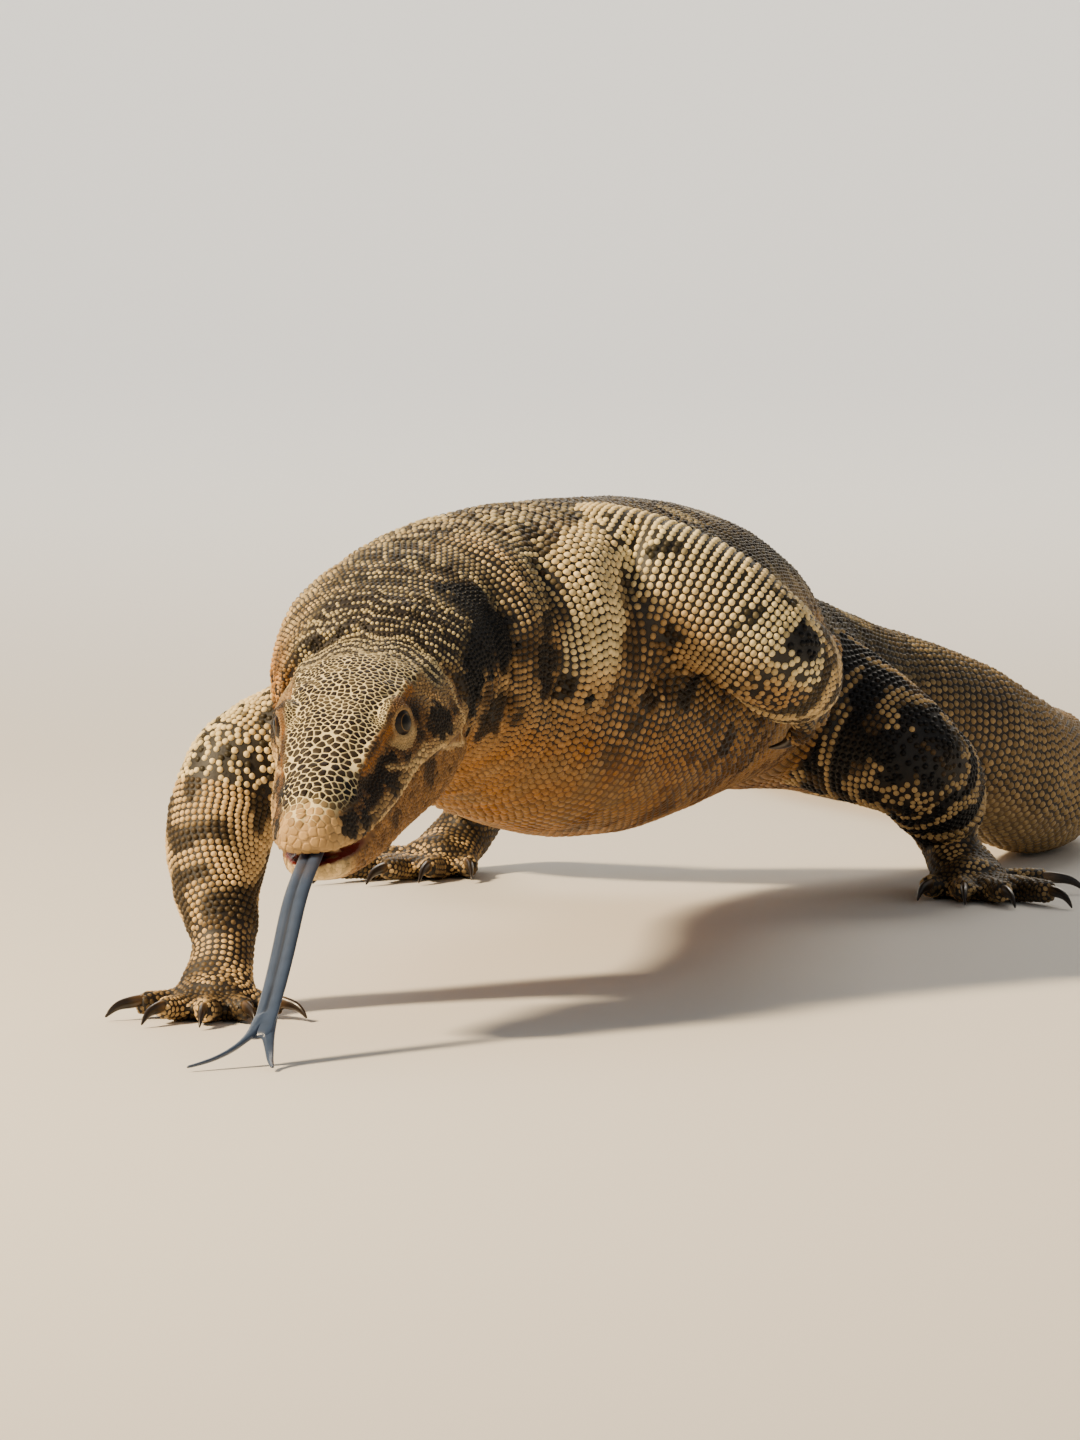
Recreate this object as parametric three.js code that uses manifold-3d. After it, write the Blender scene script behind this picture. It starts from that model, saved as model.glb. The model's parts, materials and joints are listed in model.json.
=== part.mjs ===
// A water monitor lizard, life size, walking with its head low and its forked tongue out.
// Millimetres, +Z up. The lizard walks towards -Y, and +X is its left side.
import * as THREE from "three";
import { mergeVertices } from "three/addons/utils/BufferGeometryUtils.js";
import Module from "manifold-3d";

const wasm = await Module();
wasm.setup();

// Driving dimensions of the head, from the snout tip back along the mouth line.
const HEAD_LENGTH = 100;
const HEAD_HALF_WIDTH = 28.5;
const SNOUT_TIP = new THREE.Vector3(-68, 0, 57);
const HEAD_YAW = -12.5;
const HEAD_PITCH = 20;
const HEAD_ROLL = -3;
const JAW_OPEN = 3.8;
const JAW_HINGE = 92;
const EYE_AT = 57.5;
const EYE_HEIGHT = 13.4;
const EYE_SIDE = 14.3;
const EYE_RADIUS = 6.3;
const NOSTRIL = { at: 15, side: 11.6, height: 8.6, radii: [2, 2.8, 1.7] };
const EAR = { at: 95, side: 30, height: 8, radii: [2.6, 3.2, 6] };
const HEAD_SQUARE = 0.82;
const JAW_SQUARE = 0.74;
const SNOUT_ROUND = 5;
const CHIN_ROUND = 4.5;
const BODY_SQUARE = 0.92;

// Driving dimensions of the tail.
const TAIL_LENGTH = 890;
const TAIL_STATIONS = 18;
const TAIL_SWING = 52;
const TAIL_SWING_PEAK = 0.02;
const TAIL_SWING_PERIOD = 0.75;
const TAIL_SWING_FADE = 1.9;
const TAIL_DROP = 0.145;
const TAIL_FLAT = 1.2;
const TAIL_NODES = 5;

// Gaps: between neighbouring pieces, and between a piece and what it is cut by.
const GAP = 0.3;
const FLOOR_SLAB = [2000, 4000, 40];
const HEAD_BLOCK = 140;
const CUT_TOLERANCE = 0.14;

// Facets around each piece.
const BODY_AROUND = 20;
const TAIL_AROUND = 12;
const LIMB_AROUND = 12;
const PALM_AROUND = 10;
const DIGIT_AROUND = 7;
const CLAW_AROUND = 6;
const SKULL_AROUND = 20;
const JAW_AROUND = 16;
const TONGUE_AROUND = 8;
const TINE_AROUND = 6;
const EYE_FACETS = 10;
const PIT_FACETS = 8;

const rad = THREE.MathUtils.degToRad;
const lerp = THREE.MathUtils.lerp;
const v3 = (x, y, z) => new THREE.Vector3(x, y, z);

// The head's own frame: x to the lizard's left, y back from the snout tip, z up from the mouth line.
const headFrame = new THREE.Matrix4()
  .makeRotationFromEuler(new THREE.Euler(rad(HEAD_PITCH), rad(HEAD_ROLL), rad(HEAD_YAW), "ZXY"))
  .setPosition(SNOUT_TIP);
const onHead = (x, y, z) => v3(x, y, z).applyMatrix4(headFrame);

// A closed body lofted through stations. Each station is a point on the centre line with its half width,
// its height above and below that line, and how square its outline is. Both ends close on a point.
class LoftGeometry extends THREE.BufferGeometry {
  constructor(stations, options = {}) {
    super();
    const { up = v3(0, 0, 1), around = 14, perStation = 2, grow = 0 } = options;
    const { from = 0, to = stations.length - 1, roundStart = 0, roundEnd = 0, rings = [0.6, 0.9] } = options;
    const line = new THREE.CatmullRomCurve3(stations.map((s) => s.at));
    const sizes = new THREE.CatmullRomCurve3(
      stations.map((s) => v3(s.wide, s.above, s.below)), false, "catmullrom", 0.5);
    const shapes = new THREE.CatmullRomCurve3(
      stations.map((s) => v3(s.square ?? 1, s.taper ?? 0, 0)), false, "catmullrom", 0.5);
    const last = stations.length - 1;
    const count = Math.max(2, Math.round((to - from) * perStation));
    const places = Array.from({ length: count + 1 }, (_, i) => ({ t: lerp(from, to, i / count), close: 1 }));
    const cap = (t, outward, reach) =>
      rings.map((x) => ({ t, outward: outward * reach * x, close: Math.sqrt(1 - x * x) }));
    if (roundStart) places.unshift(...cap(from, -1, roundStart).reverse());
    if (roundEnd) places.push(...cap(to, 1, roundEnd));

    const positions = [];
    const ring = ({ t, outward = 0, close }) => {
      const u = THREE.MathUtils.clamp(t / last, 0, 1);
      const forward = line.getTangent(u);
      const side = v3(0, 0, 0).crossVectors(forward, up).normalize();
      const over = v3(0, 0, 0).crossVectors(side, forward);
      const centre = line.getPoint(u).addScaledVector(forward, outward);
      const size = sizes.getPoint(u);
      const { x: square, y: taper } = shapes.getPoint(u);
      for (let k = 0; k < around; k++) {
        const angle = (k / around) * 2 * Math.PI;
        const c = Math.cos(angle);
        const s = Math.sin(angle);
        const high = Math.sign(s) * Math.abs(s) ** square;
        const x = Math.sign(c) * Math.abs(c) ** square * (1 - taper * Math.max(0, high));
        const height = (high > 0 ? size.y : size.z) + grow;
        const p = centre.clone()
          .addScaledVector(side, x * (size.x + grow) * close)
          .addScaledVector(over, high * height * close);
        positions.push(p.x, p.y, p.z);
      }
    };
    places.forEach(ring);
    const pole = (t, outward) => {
      const u = THREE.MathUtils.clamp(t / last, 0, 1);
      const p = line.getPoint(u).addScaledVector(line.getTangent(u), outward);
      positions.push(p.x, p.y, p.z);
      return positions.length / 3 - 1;
    };
    const start = pole(from, -roundStart);
    const end = pole(to, roundEnd);

    const faces = [];
    for (let i = 0; i < places.length; i++) {
      for (let k = 0; k < around; k++) {
        const next = (k + 1) % around;
        const a = i * around + k;
        const b = i * around + next;
        if (i === 0) faces.push(start, a, b);
        if (i === places.length - 1) faces.push(end, b, a);
        else faces.push(a, a + around, b, b, a + around, b + around);
      }
    }
    this.setAttribute("position", new THREE.Float32BufferAttribute(positions, 3));
    this.setIndex(faces);
  }
}

function solidOf(geometry) {
  const bare = new THREE.BufferGeometry();
  bare.setAttribute("position", geometry.getAttribute("position").clone());
  bare.setIndex(geometry.index.clone());
  const merged = mergeVertices(bare, 1e-4);
  return new wasm.Manifold(new wasm.Mesh({
    numProp: 3,
    vertProperties: new Float32Array(merged.attributes.position.array),
    triVerts: new Uint32Array(merged.index.array),
  }));
}

function geometryOf(solid) {
  const { vertProperties, triVerts } = solid.getMesh();
  const geometry = new THREE.BufferGeometry();
  geometry.setAttribute("position", new THREE.Float32BufferAttribute(vertProperties, 3));
  geometry.setIndex(new THREE.Uint32BufferAttribute(triVerts, 1));
  geometry.computeVertexNormals();
  return geometry;
}

const loft = (stations, options) => solidOf(new LoftGeometry(stations, options));

// What is left of a piece after cutting, without the needless small faces and the crumbs of the cut.
function tidy(solid) {
  const bodies = solid.simplify(CUT_TOLERANCE).decompose();
  return bodies.toSorted((a, b) => b.volume() - a.volume())[0];
}

function ellipsoid(centre, radii, frame, facets) {
  const geometry = new THREE.SphereGeometry(1, facets, Math.round((facets * 2) / 3));
  geometry.scale(...radii);
  geometry.translate(centre.x, centre.y, centre.z);
  return solidOf(geometry.applyMatrix4(frame));
}

// What lies under the floor, which every resting piece is cut by so that it stands on flats.
function underFloor() {
  const slab = new THREE.BoxGeometry(...FLOOR_SLAB);
  slab.translate(0, 0, -FLOOR_SLAB[2] / 2);
  return solidOf(slab);
}

// Finishes, as the photograph shows them.
const skin = new THREE.MeshStandardMaterial({ color: 0x8a6a3c, roughness: 0.62, metalness: 0 });
const darkSkin = new THREE.MeshStandardMaterial({ color: 0x4a3c2a, roughness: 0.62, metalness: 0 });
const eyeball = new THREE.MeshStandardMaterial({ color: 0x1c1610, roughness: 0.08, metalness: 0 });
const horn = new THREE.MeshStandardMaterial({ color: 0x2b241c, roughness: 0.35, metalness: 0 });
const wetTongue = new THREE.MeshStandardMaterial({ color: 0x4c5669, roughness: 0.3, metalness: 0 });

// A block across the head, from one distance behind the snout tip to another.
function headBlock(from, to) {
  const block = new THREE.BoxGeometry(HEAD_BLOCK, to - from, HEAD_BLOCK);
  block.translate(0, (from + to) / 2, 0);
  return solidOf(block.applyMatrix4(headFrame));
}
const skullEnd = HEAD_LENGTH - GAP / 2;
const neckStart = HEAD_LENGTH + GAP / 2;

const lizard = new THREE.Group();
function addNode(name, solid, material) {
  const mesh = new THREE.Mesh(geometryOf(tidy(solid)), material);
  mesh.name = name;
  lizard.add(mesh);
}

// Neck and trunk, from the back of the skull to the vent.
const bodyStations = [
  { name: "skull_back", at: onHead(0, HEAD_LENGTH - 4, 2), wide: 27.5, above: 22.5, below: 26 },
  { name: "nape", at: onHead(-2, HEAD_LENGTH + 14, 2), wide: 33, above: 27, below: 29 },
  { name: "mid_neck", at: v3(-42, 126, 101), wide: 38.5, above: 33, below: 36 },
  { name: "neck_base", at: v3(-26, 156, 101.5), wide: 43.5, above: 41.5, below: 45 },
  { name: "shoulders", at: v3(-4, 192, 99), wide: 47.5, above: 47, below: 54 },
  { name: "chest", at: v3(12, 236, 94), wide: 53, above: 50, below: 54 },
  { name: "ribs", at: v3(21, 290, 91), wide: 59, above: 50, below: 50 },
  { name: "belly", at: v3(27, 346, 88), wide: 61, above: 48, below: 49 },
  { name: "flank", at: v3(36, 400, 83), wide: 57, above: 44, below: 45 },
  { name: "loin", at: v3(49, 448, 75), wide: 47, above: 38, below: 39 },
  { name: "hips", at: v3(70, 490, 67), wide: 38, above: 33, below: 34 },
  { name: "vent", at: v3(98, 524, 57), wide: 29, above: 30, below: 29 },
];
const station = (name) => bodyStations.findIndex((s) => s.name === name);
for (const s of bodyStations) s.square = BODY_SQUARE;

// Tail: it swings in a slow S, drops from the vent to the floor, and is higher than it is wide.
function tailStations() {
  const root = bodyStations[station("vent")];
  const stations = [root];
  const at = root.at.clone();
  for (let i = 1; i <= TAIL_STATIONS; i++) {
    const f = i / TAIL_STATIONS;
    const swing = Math.cos((2 * Math.PI * (f - TAIL_SWING_PEAK)) / TAIL_SWING_PERIOD);
    const heading = rad(TAIL_SWING * swing * Math.exp(-TAIL_SWING_FADE * f));
    const step = TAIL_LENGTH / TAIL_STATIONS;
    at.x += Math.sin(heading) * step;
    at.y += Math.cos(heading) * step;
    const slim = 1 - f;
    const wide = lerp(1.4, root.wide, slim ** 1.9);
    const above = lerp(1.8, root.above, slim ** 1.12);
    const below = lerp(2.2, root.below, slim ** 1.12);
    const drop = 1 - THREE.MathUtils.smoothstep(f, 0, TAIL_DROP);
    at.z = below - TAIL_FLAT + (root.at.z - root.below) * drop;
    stations.push({ at: at.clone(), wide, above, below, square: BODY_SQUARE });
  }
  return stations;
}
const tail = tailStations();
const spine = [...bodyStations.slice(0, -1), ...tail];
const vent = station("vent");
const gapIn = (i) => GAP / 2 / spine[i].at.distanceTo(spine[Math.min(i + 1, spine.length - 1)].at);

// A stretch of the spine between two stations, with half a gap left at each cut.
function spineLength(from, to, options) {
  return loft(spine, {
    from: from + (from > 0 ? gapIn(from) : 0),
    to: to - (options.roundEnd ? 0 : gapIn(to - 1)),
    ...options,
  });
}
const bodyLengths = [
  { name: "neck", from: 0, to: station("neck_base"), perStation: 3, material: skin },
  { name: "trunk_front", from: station("neck_base"), to: station("chest"), perStation: 3, material: skin },
  { name: "trunk_middle", from: station("chest"), to: station("flank"), perStation: 2, material: darkSkin },
  { name: "trunk_rear", from: station("flank"), to: vent, perStation: 2, material: darkSkin },
];
const besideHead = headBlock(neckStart - HEAD_BLOCK, neckStart);
const floor = underFloor();

// What every limb is cut by: the neck, trunk and tail root, larger by the gap.
let bodyRoom = loft(spine, { from: vent, to: vent + 4, around: TAIL_AROUND, perStation: 2, grow: GAP });
for (const { name, from, to, perStation, material } of bodyLengths) {
  const length = spineLength(from, to, { around: BODY_AROUND, perStation });
  addNode(name, length.subtract(besideHead), material);
  bodyRoom = bodyRoom.add(loft(spine, { from, to, around: BODY_AROUND, perStation, grow: GAP }));
}
const tailCut = (i) => vent + Math.round((TAIL_STATIONS * i) / TAIL_NODES);
for (let i = 0; i < TAIL_NODES; i++) {
  const options = { around: TAIL_AROUND, perStation: 1.7, roundEnd: i === TAIL_NODES - 1 ? 3 : 0 };
  const length = spineLength(tailCut(i), tailCut(i + 1), options);
  addNode(`tail_${i + 1}`, length.subtract(floor), darkSkin);
}

// Head: the skull with its upper lip, and the lower jaw, which hangs a little open.
const headLine = (y, level, wide, above, below, taper, square = HEAD_SQUARE) =>
  ({ at: v3(0, y, level), wide, above: above - level, below, taper, square });
const skullStations = [
  headLine(5, -1, 9.6, 9, 2.4, 0.16),
  headLine(14, -2.8, 13.4, 12.8, 2.6, 0.18),
  headLine(26, -3.2, 16, 14.8, 2.6, 0.22),
  headLine(38, -2.8, 18.6, 18, 2.6, 0.24),
  headLine(48, -1.4, 20.2, 21, 2.4, 0.18),
  headLine(EYE_AT, -0.4, 21.4, 22.6, 2.2, 0.14),
  headLine(70, 0, 25.6, 24.2, 2, 0.16),
  headLine(84, 0, HEAD_HALF_WIDTH, 25, 2, 0.2),
  headLine(93, 0, 28, 24.8, 2, 0.22),
  headLine(skullEnd, 0, 26.6, 24, 2, 0.22),
];
const jawLine = (y, level, wide, above, below) => headLine(y, level, wide, above + level, below, 0, JAW_SQUARE);
const jawStations = [
  jawLine(6, -1, 7.6, 1.4, 5.8),
  jawLine(15, -2.8, 11.6, 2, 9.2),
  jawLine(28, -3.2, 14.8, 2.6, 13.2),
  jawLine(42, -2.4, 17.8, 3.4, 17.6),
  jawLine(58, -0.4, 20.6, 4, 22.2),
  jawLine(72, 0, 24.6, 4, 24.8),
  jawLine(86, 0, 27.2, 4, 26.4),
  jawLine(skullEnd, 0, 26, 4, 26),
];
const jawSwing = new THREE.Matrix4().makeTranslation(0, JAW_HINGE, 0)
  .multiply(new THREE.Matrix4().makeRotationX(rad(JAW_OPEN)))
  .multiply(new THREE.Matrix4().makeTranslation(0, -JAW_HINGE, 0));
const jawFrame = headFrame.clone().multiply(jawSwing);
function headLoft(stations, frame, around, roundStart, grow = 0) {
  const geometry = new LoftGeometry(stations, { around, perStation: 1.2, roundStart, grow });
  return solidOf(geometry.applyMatrix4(frame));
}

// Tongue: a flat strap that slides out over the lower lip and forks near the floor.
const strap = (at, wide, thick) => ({ at, wide, above: thick / 2, below: thick / 2 });
const tongueStations = [
  strap(onHead(0.2, 16, -3.2), 4.2, 3.2),
  strap(onHead(0.2, 4, -4.4), 4.6, 3.2),
  strap(v3(-70.8, -12, 45), 4.7, 3.1),
  strap(v3(-73, -25, 34), 4.6, 3),
  strap(v3(-75.6, -39, 23), 4.4, 2.9),
  strap(v3(-78.6, -54, 12.6), 4, 2.7),
  strap(v3(-80, -60, 9), 3.7, 2.6),
];
const tineStations = (sway, reach) => [
  strap(v3(-78.6 + sway * 1.9, -53, 13.2), 2, 2.5),
  strap(v3(-80.2 + sway * 2.6, -61, 8.6), 1.9, 2.3),
  strap(v3(-81 + sway * 3.4 + reach * 0.3, -67, 5), 1.6, 1.9),
  strap(v3(-81.6 + sway * 3.8 + reach * 0.75, -73, 2.6), 1.2, 1.5),
  strap(v3(-81.6 + sway * 4 + reach * 1.3, -79, 1.5), 0.8, 1.1),
];
const tongueUp = v3(0, 0.6, 0.8);
const makeTongue = (grow) => {
  const strapEnds = { perStation: 1, rings: [0.7], up: tongueUp, grow };
  const body = loft(tongueStations, { around: TONGUE_AROUND, roundStart: 2, roundEnd: 2.4, ...strapEnds });
  const left = loft(tineStations(1, 1), { around: TINE_AROUND, roundEnd: 1, ...strapEnds });
  const right = loft(tineStations(-1, -11), { around: TINE_AROUND, roundEnd: 1, ...strapEnds });
  return body.add(left).add(right);
};
addNode("tongue", makeTongue(0), wetTongue);

const eyeCentre = (side) => v3(side * EYE_SIDE, EYE_AT, EYE_HEIGHT);
const eyeRadii = [EYE_RADIUS, EYE_RADIUS * 1.04, EYE_RADIUS];
let skull = headLoft(skullStations, headFrame, SKULL_AROUND, SNOUT_ROUND);
for (const side of [1, -1]) {
  const socket = eyeRadii.map((r) => r + GAP);
  skull = skull.subtract(ellipsoid(eyeCentre(side), socket, headFrame, EYE_FACETS));
  for (const { at, side: out, height, radii } of [NOSTRIL, EAR]) {
    skull = skull.subtract(ellipsoid(v3(side * out, at, height), radii, headFrame, PIT_FACETS));
  }
  const eye = ellipsoid(eyeCentre(side), eyeRadii, headFrame, EYE_FACETS);
  addNode(side > 0 ? "eye_left" : "eye_right", eye, eyeball);
}
const tongueRoom = makeTongue(GAP);
skull = skull.subtract(tongueRoom);
const jaw = headLoft(jawStations, jawFrame, JAW_AROUND, CHIN_ROUND)
  .subtract(headLoft(skullStations, headFrame, SKULL_AROUND, SNOUT_ROUND, GAP))
  .subtract(tongueRoom)
  .subtract(headBlock(skullEnd, skullEnd + HEAD_BLOCK));
addNode("skull", skull, darkSkin);
addNode("lower_jaw", jaw, skin);

// Limbs: an upper length that ends in a rounded joint, and a lower length cut to sit against it.
const thick = (at, wide, above, below = above) => ({ at, wide, above, below });
function limbLength(root, tip, bow, sizes, options) {
  const count = sizes.length - 1;
  const stations = sizes.map(([wide, above], i) => {
    const f = i / count;
    const at = root.clone().lerp(tip, f).addScaledVector(bow, Math.sin(Math.PI * f));
    return thick(at, wide, above);
  });
  return loft(stations, { around: LIMB_AROUND, perStation: 1.34, rings: [0.75], ...options });
}

// A hand or foot in its own frame: origin at the wrist, y along the middle digit, z out of its back.
// The numbers are a right one's, from the inner digit to the outer; a left one takes them the other way.
function digitLine(spec, i) {
  const spread = rad(spec.spreads[i]);
  const direction = v3(Math.sin(spread), Math.cos(spread), 0);
  const root = v3((spec.width * (i - 2)) / 2.7, spec.palm * spec.roots[i], -spec.drop - spec.sink);
  const length = spec.digits[i];
  const on = (f, z) => root.clone().addScaledVector(direction, length * f).add(v3(0, 0, z));
  return { length, on };
}
function handSolids(spec) {
  const palmLine = [
    thick(v3(0, -spec.heel, spec.heelLift), spec.wrist[0], spec.wrist[1]),
    thick(v3(0, spec.palm * 0.3, -spec.drop * 0.55), spec.width * 0.78, spec.pad * 1.25),
    thick(v3(0, spec.palm * 0.72, -spec.drop), spec.width, spec.pad),
    thick(v3(0, spec.palm * 1.02, -spec.drop), spec.width * 0.86, spec.pad * 0.8),
  ];
  const palmEnds = { roundStart: 4, roundEnd: 3, rings: [0.75] };
  let hand = loft(palmLine, { around: PALM_AROUND, perStation: 1, ...palmEnds });
  const claws = [];
  for (let i = 0; i < spec.digits.length; i++) {
    const { length, on } = digitLine(spec, i);
    const r = spec.digitRadius * (0.86 + 0.14 * (length / Math.max(...spec.digits)));
    hand = hand.add(loft([
      thick(on(-0.35, 0), r * 1.05, r),
      thick(on(0.12, spec.arch * 0.5), r, r * 1.02),
      thick(on(0.5, spec.arch), r * 0.94, r * 0.98),
      thick(on(1, spec.tipLift), r * 0.72, r * 0.78),
    ], { around: DIGIT_AROUND, perStation: 1 }));
    const tip = on(1, spec.tipLift);
    const onward = tip.clone().sub(on(0.5, spec.arch)).normalize();
    const hook = (f, dip, wide, high) => thick(
      tip.clone().addScaledVector(onward, GAP + spec.claw * f).add(v3(0, 0, -dip)), wide, high);
    claws.push(loft([
      hook(0, 0, 1.7, 2.3),
      hook(0.34, 0, 1.5, 2.1),
      hook(0.7, spec.clawDip * 0.3, 1, 1.5),
      hook(0.96, spec.clawDip, 0.4, 0.5),
    ], { around: CLAW_AROUND, perStation: 1 }));
  }
  return { hand, claws };
}
const handSpec = {
  palm: 24, width: 12.5, pad: 7.2, heel: 5, heelLift: 4, wrist: [9.5, 9], digitRadius: 4.4, sink: 2.3,
  digits: [15, 21, 24, 23, 17], spreads: [-48, -22, -2, 20, 46], roots: [0.62, 0.9, 0.98, 0.92, 0.66],
  arch: 0.3, tipLift: 1, claw: 12.5, clawDip: 4.6,
};
const footSpec = {
  palm: 33, width: 13, pad: 7.6, heel: 5, heelLift: 4, wrist: [10, 9.6], digitRadius: 4.6, sink: 2.5,
  digits: [16, 23, 31, 38, 20], spreads: [-34, -16, -2, 13, 62], roots: [0.78, 0.93, 1, 0.96, 0.42],
  arch: 0.3, tipLift: 1, claw: 13, clawDip: 4.8,
};
const liftedSpec = {
  ...handSpec, drop: 2, sink: -0.4, spreads: [-26, -11, 0, 11, 25], arch: 1, tipLift: -3, clawDip: 3.2,
};

function placement(origin, forward, back) {
  const y = forward.clone().normalize();
  const x = v3(0, 0, 0).crossVectors(y, back).normalize();
  const z = v3(0, 0, 0).crossVectors(x, y);
  return new THREE.Matrix4().makeBasis(x, y, z).setPosition(origin);
}
const moved = (solid, frame) => solidOf(geometryOf(solid).applyMatrix4(frame));

// Half widths and half heights of each limb, from its root to its tip.
const armSizes = {
  upper: [[25, 27], [24, 25], [21, 22], [18, 18.5]],
  lower: [[16, 16.5], [17, 17], [13.5, 14], [10, 9.8]],
};
const liftedArmSizes = {
  upper: [[21, 24], [19, 21.5], [18, 20], [16.5, 18]],
  lower: armSizes.lower,
};
const legSizes = {
  upper: [[26, 28], [25, 26.5], [22.5, 23], [18.5, 19]],
  lower: [[17, 17.5], [17.5, 18], [14, 14.5], [10.5, 10.5]],
};

const limbs = [
  {
    names: ["upper_arm_right", "forearm_right", "hand_right"], claw: "claw_hand_right", side: -1,
    root: v3(-34, 170, 82), joint: v3(-91, 123, 68), wrist: v3(-94, 97, 22),
    forward: v3(-0.12, -1, 0), sizes: armSizes, spec: { ...handSpec, drop: 16 },
    bow: v3(-2, 0, 2), lowerBow: v3(-4, 3, 0),
  },
  {
    names: ["upper_arm_left", "forearm_left", "hand_left"], claw: "claw_hand_left", side: 1,
    root: v3(12, 190, 123), joint: v3(70, 178, 100), wrist: v3(81, 231, 87),
    forward: v3(0.22, 0.96, -0.17), back: v3(0.95, -0.14, -0.28),
    sizes: liftedArmSizes, spec: liftedSpec,
    bow: v3(2, -4, 7), lowerBow: v3(2, 0, -1),
  },
  {
    names: ["thigh_left", "shank_left", "foot_left"], claw: "claw_foot_left", side: 1,
    root: v3(78, 480, 65), joint: v3(121, 452, 45), wrist: v3(132, 494, 19.5),
    forward: v3(0.3, -1, 0), sizes: legSizes, spec: { ...footSpec, drop: 13.1 },
    bow: v3(0, 0, 1), lowerBow: v3(3, 2, 0),
  },
  {
    names: ["thigh_right", "shank_right", "foot_right"], claw: "claw_foot_right", side: -1,
    root: v3(46, 500, 65), joint: v3(-14, 516, 53), wrist: v3(-20, 570, 21),
    forward: v3(-0.5, -0.87, 0), sizes: legSizes, spec: { ...footSpec, drop: 14.6 },
    bow: v3(0, -2, 4), lowerBow: v3(-3, 0, 0),
  },
];

for (const limb of limbs) {
  const { root, joint, wrist, sizes, bow, lowerBow, side } = limb;
  const plane = v3(0, 0, 0).crossVectors(joint.clone().sub(root), wrist.clone().sub(joint)).normalize();
  const upperAt = (grow) => limbLength(root, joint, bow, sizes.upper,
    { up: plane, roundStart: 14, roundEnd: sizes.upper.at(-1)[0] * 0.86, grow });
  const lowerAt = (grow) => limbLength(joint, wrist, lowerBow, sizes.lower,
    { up: plane, roundStart: sizes.lower[0][0] * 0.8, roundEnd: 5, grow });
  const spec = side < 0 ? limb.spec : {
    ...limb.spec,
    digits: limb.spec.digits.toReversed(),
    spreads: limb.spec.spreads.map((a) => -a).toReversed(),
    roots: limb.spec.roots.toReversed(),
  };
  const frame = placement(wrist, limb.forward, limb.back ?? v3(0, 0, 1));
  const { hand, claws } = handSolids(spec);
  const upperCut = upperAt(GAP);
  const lowerCut = lowerAt(GAP);
  const end = moved(hand, frame).subtract(lowerCut).subtract(floor);
  claws.forEach((claw, i) => {
    const number = side < 0 ? i + 1 : claws.length - i;
    addNode(`${limb.claw}_${number}`, moved(claw, frame).subtract(floor), horn);
  });
  addNode(limb.names[0], upperAt(0).subtract(bodyRoom), skin);
  addNode(limb.names[1], lowerAt(0).subtract(upperCut).subtract(bodyRoom), skin);
  addNode(limb.names[2], end, skin);
}

// The origin is on the floor, in the middle of the outline seen from above.
const box = new THREE.Box3().setFromObject(lizard, true);
const middle = box.getCenter(v3(0, 0, 0));
lizard.position.set(-middle.x, -middle.y, -box.min.z);

export default lizard;
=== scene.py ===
import json
import math

import bmesh
import bpy
import numpy as np
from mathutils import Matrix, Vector, noise
from mathutils.bvhtree import BVHTree
from mathutils.kdtree import KDTree

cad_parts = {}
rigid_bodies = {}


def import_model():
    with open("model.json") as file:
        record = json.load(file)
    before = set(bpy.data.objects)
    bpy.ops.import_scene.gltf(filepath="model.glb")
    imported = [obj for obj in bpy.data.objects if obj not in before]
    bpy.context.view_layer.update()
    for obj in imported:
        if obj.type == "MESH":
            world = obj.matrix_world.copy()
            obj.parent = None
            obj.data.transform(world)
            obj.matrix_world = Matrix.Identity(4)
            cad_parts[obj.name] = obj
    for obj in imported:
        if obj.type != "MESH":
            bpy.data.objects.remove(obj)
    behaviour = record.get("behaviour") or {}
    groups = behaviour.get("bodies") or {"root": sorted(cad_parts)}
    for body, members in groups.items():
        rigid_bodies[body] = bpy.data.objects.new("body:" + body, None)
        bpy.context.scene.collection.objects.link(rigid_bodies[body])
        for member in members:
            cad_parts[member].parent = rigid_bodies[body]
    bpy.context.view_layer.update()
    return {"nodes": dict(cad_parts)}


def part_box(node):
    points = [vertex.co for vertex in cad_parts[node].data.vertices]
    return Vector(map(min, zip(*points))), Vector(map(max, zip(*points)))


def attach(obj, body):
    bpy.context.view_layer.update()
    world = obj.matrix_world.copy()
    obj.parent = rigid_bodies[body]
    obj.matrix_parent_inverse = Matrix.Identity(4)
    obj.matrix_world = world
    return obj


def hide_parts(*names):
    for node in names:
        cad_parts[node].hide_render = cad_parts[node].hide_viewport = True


bl_info = {
    "name": "Water monitor lizard",
    "version": (1, 0, 0),
    "blender": (4, 5, 0),
    "location": "3D View > Sidebar > Lizard",
    "description": "Skin, scales, eyes, claws and tongue of a life-size water monitor lizard",
    "category": "Object",
}

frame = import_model()
MM = 0.001
PHOTO_HEIGHT = 1440

LIMB_NODES = {
    "arm_right": ("upper_arm_right", "forearm_right", "hand_right"),
    "arm_left": ("upper_arm_left", "forearm_left", "hand_left"),
    "leg_left": ("thigh_left", "shank_left", "foot_left"),
    "leg_right": ("thigh_right", "shank_right", "foot_right"),
}
CLAW_PREFIX = {
    "arm_right": "claw_hand_right_",
    "arm_left": "claw_hand_left_",
    "leg_left": "claw_foot_left_",
    "leg_right": "claw_foot_right_",
}
DIGITS = 5
HEAD_NODES = ["skull", "lower_jaw"]
TRUNK_NODES = ["neck", "trunk_front", "trunk_middle", "trunk_rear"]
TAIL_NODES = ["tail_1", "tail_2", "tail_3", "tail_4", "tail_5"]
LIMB_FLESH = [name for names in LIMB_NODES.values() for name in names]
FLESH_NODES = HEAD_NODES + TRUNK_NODES + TAIL_NODES + LIMB_FLESH

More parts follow.
